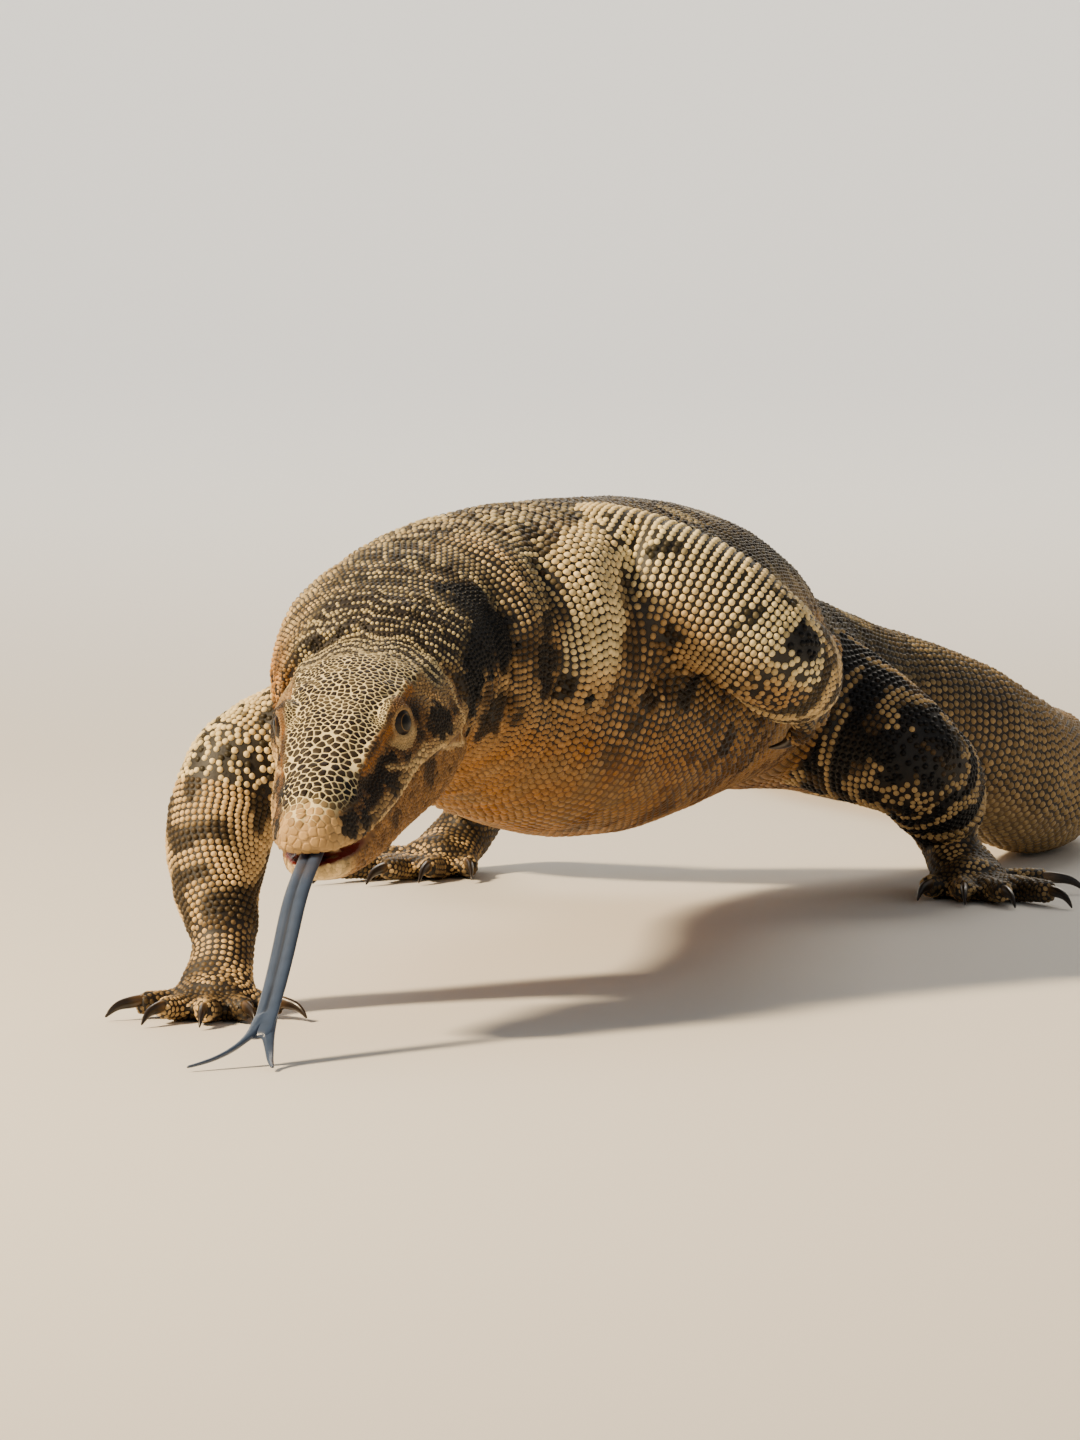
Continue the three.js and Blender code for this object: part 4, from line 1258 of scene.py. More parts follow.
# The strap's centre line in the animal's millimetres, and how far forward it runs before it forks.
TONGUE_LINE = [
    tuple(on_head((0.2, 16, -3.2))), tuple(on_head((0.2, 4, -4.4))), (-70.8, -12, 45), (-73, -25, 34),
    (-75.6, -39, 23), (-78.6, -54, 12.6),
]
TONGUE_FORK = -53
GROOVE_WIDTH, GROOVE_DEPTH = 0.75, 0.55


class LIZARD_OT_tongue(bpy.types.Operator):
    """The forked tongue, with a groove down its middle"""
    bl_idname = "lizard.tongue"
    bl_label = "Tongue"

    def execute(self, context):
        mesh = smoothed_copy("tongue", 2)
        points = to_animal(coordinates(mesh))
        normals = vertex_normals(mesh)
        line = curve_points(TONGUE_LINE)
        nearest = np.linalg.norm(points[:, None] - line[None], axis=2).argmin(axis=1)
        along = unit(np.gradient(line, axis=0))[nearest]
        side = unit(np.cross(along, (0, 0.6, 0.8)))
        across = np.abs(((points - line[nearest]) * side).sum(1))
        flat = smoothstep(0.2, 0.7, np.abs((normals * np.cross(side, along)).sum(1)))
        on_strap = points[:, 1] > TONGUE_FORK
        groove = np.exp(-(across / GROOVE_WIDTH) ** 2) * flat * on_strap
        edge = smoothstep(2.6, 4.2, across) * on_strap
        set_coordinates(mesh, to_row(points - normals * (groove * GROOVE_DEPTH)[:, None]))
        # The groove and the strap's edges are marked for painted shade, drawn near-black by the tongue's
        # material.
        set_attribute(mesh, "groove", "FLOAT", np.clip(0.85 * groove + 0.6 * edge, 0, 1))
        mesh.name = "tongue_strap"
        finish_piece(new_object("tongue_strap", mesh), tongue_material(), ["tongue"])
        return {"FINISHED"}


def claw_material():
    """Polished dark horn, paler at the root, with fine lengthwise growth lines."""
    colours = bpy.context.scene.lizard_colours
    material, tree = new_material("polished_horn")
    place = add_node(tree, "ShaderNodeTexCoord").outputs["Object"]
    lines = add_node(tree, "ShaderNodeTexNoise", {}, {
        "Vector": place, "Scale": 1 / (1.1 * MM), "Detail": 4.0}).outputs["Fac"]
    root = add_node(tree, "ShaderNodeAttribute", {"attribute_name": "root"}).outputs["Fac"]
    base = add_node(tree, "ShaderNodeMix", {"data_type": "RGBA"}, {
        MIX_FACTOR: root, MIX_FIRST: colours.claw, MIX_SECOND: linear("#6B5337")})
    finish_surface(tree, {
        "Base Color": uneven(tree, base.outputs[MIX_RESULT], (lines, 0.7, 1.3)), "Roughness": 0.3},
        lines, 0.25, 0.1)
    return material


# How far a claw's root is drawn back into its digit.
CLAW_ROOT = 2.6


class LIZARD_OT_claws(bpy.types.Operator):
    """The claws, rooted in the ends of the digits"""
    bl_idname = "lizard.claws"
    bl_label = "Claws"

    def execute(self, context):
        material = claw_material()
        for limb, prefix in CLAW_PREFIX.items():
            joined = bmesh.new()
            layer = joined.verts.layers.float.new("root")
            for i in range(DIGITS):
                mesh = smoothed_copy(prefix + str(i + 1), 2)
                points = to_animal(coordinates(mesh))
                path = PATHS[f"{limb}_digit_{i + 1}"]
                forward = unit(path.line[-1] - path.line[0])
                reach = (points - points.mean(axis=0)) @ forward
                behind = smoothstep(0.35, 0.0, (reach - reach.min()) / np.ptp(reach))
                set_coordinates(mesh, to_row(points - forward * (CLAW_ROOT * behind)[:, None]))
                start = len(joined.verts)
                joined.from_mesh(mesh)
                joined.verts.ensure_lookup_table()
                for k, share in enumerate(behind):
                    joined.verts[start + k][layer] = float(share)
                bpy.data.meshes.remove(mesh)
            mesh = bpy.data.meshes.new("claws_" + limb)
            joined.to_mesh(mesh)
            joined.free()
            nodes = [prefix + str(i + 1) for i in range(DIGITS)]
            finish_piece(new_object("claws_" + limb, mesh), material, nodes)
        return {"FINISHED"}


# Where each centre line's scales lie on the OFBake map: left, bottom, width and height.
# The body's long line is folded at its middle, so that its patches keep room along it.
ATLAS = {
    "head": (0.01, 0.53, 0.46, 0.20), "spine": (0.01, 0.01, 0.98, 0.28), "tail": (0.01, 0.31, 0.98, 0.20),
}
for row_number, limb_name in enumerate(LIMB_LINES):
    ATLAS[limb_name + "_upper"] = (0.01 + 0.245 * row_number, 0.86, 0.235, 0.13)
    ATLAS[limb_name + "_lower"] = (0.01 + 0.245 * row_number, 0.75, 0.235, 0.10)
    ATLAS[limb_name + "_palm"] = (0.49 + 0.125 * row_number, 0.66, 0.115, 0.07)
    for digit_number in range(DIGITS):
        ATLAS[f"{limb_name}_digit_{digit_number + 1}"] = (
            0.49 + 0.125 * row_number + 0.023 * digit_number, 0.53, 0.021, 0.12)


def unwrap(owner, place, theta):
    """The place of each root on the OFBake map: along and round its own centre line."""
    made = np.zeros((len(owner), 2))
    turned = (theta + 90) % 360 / 360
    for number, name in enumerate(PATH_NAMES):
        mine = owner == number
        share = np.clip(place[mine] / PATHS[name].length, 0, 0.999)
        if name == "spine":
            back = share >= 0.5
            boxes = np.where(back[:, None], ATLAS["tail"], ATLAS["spine"])
            share = share * 2 - back
        else:
            boxes = np.tile(ATLAS[name], (len(share), 1))
        made[mine] = boxes[:, :2] + boxes[:, 2:] * np.column_stack([share, turned[mine]])
    return made


def tree_of(points):
    """A search tree over points."""
    tree = KDTree(len(points))
    for i, point in enumerate(points):
        tree.insert(Vector(point), i)
    tree.balance()
    return tree


# Width of a grid's cells, more than the widest scale, and the steps to a cell's neighbours.
CELL = 4
STEPS = (-1, 0, 1)


def cell_of(point):
    return tuple((point // CELL).astype(int))


def held_near(grid, cell):
    """What the grid holds in this cell and those round it."""
    return [held for dx in STEPS for dy in STEPS for dz in STEPS
            for held in grid.get((cell[0] + dx, cell[1] + dy, cell[2] + dz), ())]


class Surface:
    """The finished skin as a surface to cast rays at, in the animal's millimetres."""

    def __init__(self, mesh):
        self.points = to_animal(coordinates(mesh))
        self.faces = [tuple(f.vertices) for f in mesh.polygons]
        self.tree = BVHTree.FromPolygons([tuple(p) for p in self.points], self.faces)

    def cast(self, start, direction, reach):
        hit, normal, _, distance = self.tree.ray_cast(Vector(start), Vector(direction), reach)
        return hit, normal, distance

    def nearest(self, point):
        hit, normal, _, _ = self.tree.find_nearest(Vector(point))
        return hit, normal


RAYS = 72
REACH = 1.75


def ring_roots(surface, path, s, pitch_at, shift):
    """Scale roots in one row round a centre line: points, normals and angles, spaced by pitch_at(angle)."""
    centre, _, side, over, radius = (value[0] for value in path.at(s))
    angles = np.arange(RAYS) * 360 / RAYS
    spokes = np.cos(np.radians(angles))[:, None] * side + np.sin(np.radians(angles))[:, None] * over
    found = [surface.cast(centre, spoke, radius * REACH) for spoke in spokes]
    good = np.array([hit is not None for hit, _, _ in found])
    if good.sum() < RAYS / 4:
        return None
    hits = np.array([hit if hit is not None else centre + spoke * radius
                     for (hit, _, _), spoke in zip(found, spokes)])
    normals = np.array([normal if normal is not None else spoke
                        for (_, normal, _), spoke in zip(found, spokes)])
    closed = np.vstack([hits, hits[:1]])
    steps = np.linalg.norm(np.diff(closed, axis=0), axis=1) / pitch_at((angles + 180 / RAYS) % 360)
    run = np.concatenate([[0], np.cumsum(steps)])
    count = max(5, int(round(run[-1])))
    wanted = (np.arange(count) + shift) % count * run[-1] / count
    index = np.clip(np.searchsorted(run, wanted, side="right") - 1, 0, RAYS - 1)
    part = ((wanted - run[index]) / np.maximum(steps[index], 1e-6))[:, None]
    after = (index + 1) % RAYS
    keep = good[index] & good[after]
    points = hits[index] * (1 - part) + hits[after] * part
    facing = unit(normals[index] * (1 - part) + normals[after] * part)
    turned = (angles[index] + part[:, 0] * 360 / RAYS + 180) % 360 - 180
    across = pitch_at(turned % 360) * run[-1] / count
    return points[keep], facing[keep], turned[keep], across[keep]


def rows_round(surface, name, start, end, row_pitch, pitch_at):
    """Every root of a length of the body, with its size across and along."""
    path = PATHS[name]
    s, number = start, 0
    rows = []
    while s < end:
        pitch = row_pitch(s)
        ring = ring_roots(surface, path, s, lambda angle: pitch_at(s, angle), 0.5 * (number % 2))
        if ring is not None:
            points, normals, theta, across = ring
            rows.append(np.column_stack([
                points, normals, np.full(len(points), s), theta, across, np.full(len(points), pitch)]))
        s += pitch
        number += 1
    return np.vstack(rows) if rows else np.zeros((0, 10))


def belly_share(angle):
    """1 under the body and 0 on its back and sides, for angles round its centre line."""
    return smoothstep(0.45, 0.8, -np.sin(np.radians(angle)))


def pruned(rows, kept, room):
    """The rows whose roots have room beside those already kept."""
    if not len(kept):
        return rows
    tree = tree_of(kept)
    apart = np.array([tree.find(Vector(row[:3]))[2] for row in rows])
    return rows[apart > room * np.minimum(rows[:, 8], rows[:, 9])]


SHOULDER_PITCH = 2.85


def path_rows(surface, scales):
    """Roots in rows over the whole body but the head, by centre line."""
    neck, trunk, belly = scales.neck_pitch / MM, scales.trunk_pitch / MM, scales.belly_pitch / MM
    tail, limb, foot = scales.tail_pitch / MM, scales.limb_pitch / MM, scales.foot_pitch / MM
    spine_length = PATHS["spine"].length

    def spine_pitch(s):
        slim = 1 - 0.4 * float(smoothstep(800, spine_length, s))
        front = neck * (0.74 + 0.26 * float(smoothstep(5, 55, s)))
        lobe = float(smoothstep(68, 80, s) * smoothstep(122, 106, s))
        body = front + (trunk - front) * float(smoothstep(60, 170, s))
        body = blend(body, SHOULDER_PITCH, lobe)
        return (body + (tail - body) * float(smoothstep(480, 560, s))) * slim

    def spine_across(s, angle):
        under = belly_share(angle) * float(smoothstep(40, 120, s))
        return spine_pitch(s) * 0.92 * (1 - under) + belly * 1.0 * under

    plan = [("spine", 3.0, spine_length - 4, spine_pitch, spine_across)]
    for limb_name in LIMB_LINES:
        for part, pitch in (("_upper", limb), ("_lower", limb * 0.9), ("_palm", foot * 1.1)):
            name = limb_name + part
            crowd = 0.9
            plan.append((name, 0.0, PATHS[name].length, lambda s, p=pitch * crowd: p,
                         lambda s, angle, p=pitch: p + 0 * angle))
        for i in range(DIGITS):
            name = f"{limb_name}_digit_{i + 1}"
            plan.append((name, 0.0, PATHS[name].length, lambda s: foot,
                         lambda s, angle: foot * 0.95 + 0 * angle))
    kept = []
    for name, start, end, row_pitch, pitch_at in plan:
        rows = rows_round(surface, name, start, end, row_pitch, pitch_at)
        owner, _ = claims(rows[:, :3])
        behind_head = (in_head(rows[:, :3])[:, 1] > 98.6) | (rows[:, 6] > 40) | (name != "spine")
        rows = rows[(owner == PATH_NAMES.index(name)) & behind_head]
        everything = np.vstack(kept)[:, :3] if kept else np.zeros((0, 3))
        rows = pruned(rows, everything, 0.62)
        kept.append(np.column_stack([rows, np.full(len(rows), PATH_NAMES.index(name))]))
    return np.vstack(kept)


# Points tried on each face when bare places are filled, and how far a new scale stays from the rows'
# scales and from other new ones, in spacings.
CANDIDATES = 3
BARE_ROOM, ADDED_ROOM = 0.74, 0.76


def filled_rows(surface, kept, rng):
    """More roots where the rows of neighbouring lengths leave bare skin between them."""
    faces = np.array([f[:3] for f in surface.faces])
    middles = surface.points[faces].mean(axis=1)
    owner, place = claims(middles)
    outside = (owner > 1) | ((owner == 1) & ((in_head(middles)[:, 1] > 99) | (place > 40)))
    middles, owner, place = middles[outside], owner[outside], place[outside]
    faces = faces[outside]
    draws = rng.dirichlet((1, 1, 1), len(faces) * (CANDIDATES - 1))
    scattered = (surface.points[np.tile(faces, (CANDIDATES - 1, 1))] * draws[:, :, None]).sum(axis=1)
    middles = np.vstack([middles, scattered])
    owner, place, faces = (np.concatenate([values] * CANDIDATES) for values in (owner, place, faces))
    corner = surface.points[faces]
    normals = unit(np.cross(corner[:, 1] - corner[:, 0], corner[:, 2] - corner[:, 0]))
    tree = tree_of(kept[:, :3])
    found = [tree.find(Vector(p)) for p in middles]
    apart = np.array([f[2] for f in found])
    nearest = np.array([f[1] for f in found])
    pitch = kept[nearest, 8:10].mean(axis=1)
    bare = np.flatnonzero(apart > BARE_ROOM * pitch)
    rng.shuffle(bare)
    added = []
    taken = {}
    for i in bare:
        cell = cell_of(middles[i])
        if any(np.linalg.norm(middles[i] - q) < ADDED_ROOM * pitch[i] for q in held_near(taken, cell)):
            continue
        taken.setdefault(cell, []).append(middles[i])
        name = PATH_NAMES[owner[i]]
        theta = angle_round(PATHS[name], place[i:i + 1], middles[i:i + 1])[0]
        size = kept[nearest[i], 8:10]
        added.append([*middles[i], *normals[i], place[i], theta, *size, owner[i]])
    return np.vstack([kept, added]) if added else kept


def scale_shape(name, around, rings, keel=0.0):
    """A low dome on a unit footprint: each ring is (radius, height), and a keel raises its middle line."""
    vertices = []
    for radius, height in rings:
        for k in range(around):
            a = 2 * math.pi * (k + 0.5) / around
            x, y = math.cos(a) * radius, math.sin(a) * radius
            vertices.append((x, y, height + keel * (1 - min(1, abs(x) * 2.2)) * (height > 0)))
    vertices.append((0, 0.12 if keel else 0.0, 1.0 + keel))
    faces = []
    for i in range(len(rings) - 1):
        for k in range(around):
            after = (k + 1) % around
            faces.append((i * around + k, i * around + after, (i + 1) * around + after, (i + 1) * around + k))
    top = (len(rings) - 1) * around
    for k in range(around):
        faces.append((top + k, top + (k + 1) % around, len(vertices) - 1))
    return new_object(name, mesh_from(name, vertices, faces))


def scale_shapes():
    """The four shapes of scale by their numbers: bead, oval with a keel, belly plate and grain."""
    shapes = bpy.data.collections.new("scale_shapes")
    made = [
        scale_shape("scale_0_bead", 9, ((1.0, -0.35), (0.88, 0.42), (0.5, 0.84))),
        scale_shape("scale_1_keeled", 8, ((1.0, -0.35), (0.68, 0.7)), 0.28),
        scale_shape("scale_2_plate", 8, ((1.0, -0.35), (0.8, 0.75))),
        scale_shape("scale_3_grain", 7, ((1.0, -0.35), (0.6, 0.75))),
    ]
    for shape in made:
        shapes.objects.link(shape)
        bpy.context.scene.collection.objects.unlink(shape)
    return shapes


BEAD, KEELED, PLATE, GRAIN = range(4)


def scale_tree():
    """Geometry Nodes: one scale on every root, turned to its lie, then made real mesh with its OFBake map."""
    tree = bpy.data.node_groups.new("scales_on_roots", "GeometryNodeTree")
    for name, kind, way in (
        ("Roots", "NodeSocketGeometry", "INPUT"), ("Shapes", "NodeSocketCollection", "INPUT"),
        ("Height", "NodeSocketFloat", "INPUT"), ("Unevenness", "NodeSocketFloat", "INPUT"),
        ("Patch", "NodeSocketFloat", "INPUT"), ("Seed", "NodeSocketInt", "INPUT"),
        ("Material", "NodeSocketMaterial", "INPUT"), ("Scales", "NodeSocketGeometry", "OUTPUT"),
    ):
        tree.interface.new_socket(name, in_out=way, socket_type=kind)
    start = add_node(tree, "NodeGroupInput").outputs

    stored = {
        name: add_node(tree, "GeometryNodeInputNamedAttribute", {"data_type": kind}, {
            "Name": name}).outputs["Attribute"]
        for name, kind in (("facing", "FLOAT_VECTOR"), ("lie", "FLOAT_VECTOR"), ("size", "FLOAT_VECTOR"),
                           ("shape", "INT"), ("footprint", "FLOAT_VECTOR"), ("root", "FLOAT_VECTOR"))
    }
    shapes = add_node(tree, "GeometryNodeCollectionInfo", {}, {
        "Collection": start["Shapes"], "Separate Children": True, "Reset Children": True})
    rotation = add_node(tree, "FunctionNodeAxesToRotation", {"primary_axis": "Z", "secondary_axis": "Y"}, {
        "Primary Axis": stored["facing"], "Secondary Axis": stored["lie"]})
    least = add_node(tree, "ShaderNodeMath", {"operation": "SUBTRACT"}, {0: 1.0, 1: start["Unevenness"]})
    most = add_node(tree, "ShaderNodeMath", {"operation": "ADD"}, {0: 1.0, 1: start["Unevenness"]})
    uneven = add_node(tree, "FunctionNodeRandomValue", {"data_type": "FLOAT"}, {
        2: least.outputs["Value"], 3: most.outputs["Value"], "Seed": start["Seed"]})
    raised = add_node(tree, "ShaderNodeMath", {"operation": "MULTIPLY"}, {
        0: start["Height"], 1: uneven.outputs[1]})
    stretch = add_node(tree, "ShaderNodeCombineXYZ", {}, {"X": 1.0, "Y": 1.0, "Z": raised.outputs["Value"]})
    size = add_node(tree, "ShaderNodeVectorMath", {"operation": "MULTIPLY"}, {
        0: stored["size"], 1: stretch.outputs["Vector"]})
    scales = add_node(tree, "GeometryNodeInstanceOnPoints", {}, {
        "Points": start["Roots"], "Instance": shapes.outputs["Instances"], "Pick Instance": True,
        "Instance Index": stored["shape"], "Rotation": rotation.outputs["Rotation"],
        "Scale": size.outputs["Vector"]})
    real = add_node(tree, "GeometryNodeRealizeInstances", {}, {"Geometry": scales.outputs["Instances"]})
    spread = add_node(tree, "ShaderNodeVectorMath", {"operation": "SCALE"}, {
        0: stored["footprint"], "Scale": start["Patch"]})
    spot = add_node(tree, "ShaderNodeVectorMath", {"operation": "ADD"}, {
        0: stored["root"], 1: spread.outputs["Vector"]})
    mapped = add_node(tree, "GeometryNodeStoreNamedAttribute", {"data_type": "FLOAT2", "domain": "CORNER"}, {
        "Geometry": real.outputs["Geometry"], "Name": "OFBake", "Value": spot.outputs["Vector"]})
    finished = add_node(tree, "GeometryNodeSetMaterial", {}, {
        "Geometry": mapped.outputs["Geometry"], "Material": start["Material"]})
    add_node(tree, "NodeGroupOutput", {}, {"Scales": finished.outputs["Geometry"]})
    return tree


def scale_piece(name, roots, shapes, tree, material):
    """Grows one scale on each root and finishes the piece."""
    settings = bpy.context.scene.lizard_scales
    mesh = bpy.data.meshes.new(name)
    mesh.vertices.add(len(roots["points"]))
    set_coordinates(mesh, to_row(roots["points"]))
    for key in ("facing", "lie", "size", "root"):
        set_attribute(mesh, key, "FLOAT_VECTOR", roots[key])
    for key in ("pale", "warm", "black", "vary"):
        set_attribute(mesh, key, "FLOAT", roots[key])
    shape = mesh.attributes.new("shape", "INT", "POINT")
    shape.data.foreach_set("value", roots["shape"].astype(np.int32))
    obj = new_object(name, mesh)
    modifier = obj.modifiers.new("scales", "NODES")
    modifier.node_group = tree
    values = {"Shapes": shapes, "Height": settings.height, "Unevenness": 0.12, "Patch": settings.patch / 2,
              "Seed": settings.seed, "Material": material}
    for item in tree.interface.items_tree:
        if item.item_type == "SOCKET" and item.in_out == "INPUT" and item.name in values:
            modifier[item.identifier] = values[item.name]
    made = settled_mesh(obj)
    made.name = name
    for key in ("facing", "lie", "size", "root", "shape", "footprint"):
        if key in made.attributes:
            made.attributes.remove(made.attributes[key])
    finish_piece(new_object(name, made))


def roots_from(rows, rng):
    """Sizes, lie, shape and looks of the scales whose roots these rows hold."""
    points, normals, place, theta = rows[:, :3], rows[:, 3:6], rows[:, 6], rows[:, 7]
    owner = rows[:, 10].astype(int)
    lie = np.zeros((len(rows), 3))
    for number, name in enumerate(PATH_NAMES):
        mine = owner == number
        if mine.any():
            lie[mine] = PATHS[name].at(place[mine])[1]
    lie = unit(lie - normals * (lie * normals).sum(1)[:, None])
    pale, warm, black, _ = looks_at(points, normals, owner, place, theta)
    spine = lies_on(owner, "spine")
    under = belly_share(theta % 360)
    shape = np.full(len(rows), BEAD)
    shape[spine & (under < 0.5) & (place > KEELS_FROM)] = KEELED
    shape[spine & (under >= 0.5) & (place > BELLY_PLATES_FROM)] = PLATE
    foot = lies_on(owner, "palm", "digit")
    shape[foot] = GRAIN
    nape = spine * smoothstep(75, 55, place) * smoothstep(0.0, 0.5, np.sin(np.radians(theta)))
    upper_arm = lies_on(owner, "arm_left_upper", "arm_right_upper")
    crowded = (upper_arm | (spine & (near_line(points, SHOULDER) < 15))) & (under < 0.5)
    across = rows[:, 8] * (0.45 - 0.03 * nape + 0.03 * crowded)
    along = rows[:, 9] * (0.47 - 0.08 * nape + 0.02 * crowded)
    height = np.where(foot, 0.6, 1.0) * np.where(shape == PLATE, 0.55, 1.0)
    height = height * np.where(shape == BEAD, 1.25, 1.0) * np.clip(np.minimum(across, along) / 1.35, 0.5, 1.1)
    size = np.column_stack([across * MM, along * MM, height])
    root = np.column_stack([unwrap(owner, place, theta), np.zeros(len(rows))])
    return {"points": points, "facing": normals, "lie": lie, "size": size, "root": root, "pale": pale,
            "warm": warm, "black": black, "vary": rng.random(len(rows)), "shape": shape, "owner": owner,
            "place": place}


def plate_pitch(placed, normals, scales):
    """Spacing of the head's plates and grains: broad on top, small on the sides and finest round the eyes."""
    top, front, lips, jaw = head_zones(placed, normals)
    x, y = np.abs(placed[:, 0]), placed[:, 1]
    broad = scales.head_pitch / MM
    pitch = np.full(len(x), 0.55 * broad)
    under = jaw * smoothstep(0.0, -0.5, normals[:, 2])
    pitch = blend(pitch, 0.8 * broad, under)
    crown = broad * (0.9 + 0.3 * smoothstep(48, 36, y) * smoothstep(8, 16, y))
    crown = crown * (1 - 0.3 * smoothstep(70, 86, y))
    crown = crown * (1 - 0.25 * smoothstep(9, 16, x) * smoothstep(70, 40, y))
    pitch = blend(pitch, crown, top)
    pitch = blend(pitch, 1.15 * broad, front * (1 - jaw))
    pitch = blend(pitch, 0.86 * broad, lips * smoothstep(66, 56, y))
    for side in (1, -1):
        _, distance, share, _ = eye_angles(placed, side)
        pitch = blend(pitch, 0.4 * broad, smoothstep(2.7, 2.2, share) * (distance < EYE_RADIUS + 4))
    return pitch


def supraocular(placed):
    """1 over the eyes, where the plates are broad across the head and short along it."""
    x, y = np.abs(placed[:, 0]), placed[:, 1]
    return np.exp(-(((x - 12.2) / 3.4) ** 2 + ((y - 60) / 7.5) ** 2) ** 2)


# Points drawn for each plate that fits, the least room round a plate's middle in spacings, and the passes
# that even the middles out.
DRAWS_PER_PLATE = 9
PLATE_ROOM = 0.86
EVENING_PASSES = 3


def plate_seeds(surface, scales, rng):
    """Middles of the head's plates: scattered, then evened out."""
    faces = np.array([f[:3] for f in surface.faces])
    corners = in_head(surface.points)[faces]
    normals = np.cross(corners[:, 1] - corners[:, 0], corners[:, 2] - corners[:, 0])
    area = np.linalg.norm(normals, axis=1) / 2
    normals = unit(normals)
    middle = corners.mean(axis=1)
    wanted = (middle[:, 1] < 99) & (np.abs(middle[:, 0]) < 36) & (np.abs(middle[:, 2]) < 40)
    for side in (1, -1):
        _, distance, share, _ = eye_angles(middle, side)
        wanted &= ~((share < 1.1) & (distance < EYE_RADIUS + 2))
    inside = np.abs(middle[:, 0]) < lip_half(middle[:, 1]) - 1.2
    level = middle[:, 2] - lip_level(middle[:, 1])
    flat = np.abs(normals[:, 2]) > 0.2
    wanted &= ~(inside & flat & (level < 1.4) & (level > -7.5) & (middle[:, 1] > 1.5))
    chosen = np.flatnonzero(wanted)
    pitch = plate_pitch(middle[chosen], normals[chosen], scales)
    share = area[chosen] / pitch ** 2
    total = int(share.sum() * DRAWS_PER_PLATE)
    picks = chosen[rng.choice(len(chosen), total, p=share / share.sum())]
    mix = rng.dirichlet((1, 1, 1), total)
    points = (corners[picks] * mix[:, :, None]).sum(axis=1)
    pitch = plate_pitch(points, normals[picks], scales)
    stretch = 1 + 1.3 * supraocular(points)

    def too_close(i, j):
        gap = points[i] - points[j]
        gap[0] /= stretch[i]
        gap[1] *= math.sqrt(stretch[i])
        return gap @ gap < (PLATE_ROOM * pitch[i]) ** 2

    taken = {}
    seeds = []
    for i in range(total):
        cell = cell_of(points[i])
        if not any(too_close(i, j) for j in held_near(taken, cell)):
            taken.setdefault(cell, []).append(i)
            seeds.append(i)
    seeds = points[seeds]
    for _ in range(EVENING_PASSES):
        tree = tree_of(seeds)
        nearest = np.array([tree.find(Vector(p))[1] for p in points])
        count = np.bincount(nearest, minlength=len(seeds))
        moved = np.stack([np.bincount(nearest, points[:, k], len(seeds)) for k in range(3)], axis=1)
        moved = moved / np.maximum(count, 1)[:, None]
        still = supraocular(seeds)[:, None]
        seeds = np.where(count[:, None] > 0, moved * (1 - still) + seeds * still, seeds)
    return seeds


def clipped(polygon, normal, reach):
    """The part of a flat polygon within this distance along a direction."""
    made = []
    sides = polygon @ normal - reach
    for i in range(len(polygon)):
        j = (i + 1) % len(polygon)
        if sides[i] <= 0:
            made.append(polygon[i])
        if (sides[i] < 0) != (sides[j] < 0):
            t = sides[i] / (sides[i] - sides[j])
            made.append(polygon[i] + (polygon[j] - polygon[i]) * t)
    return np.array(made)


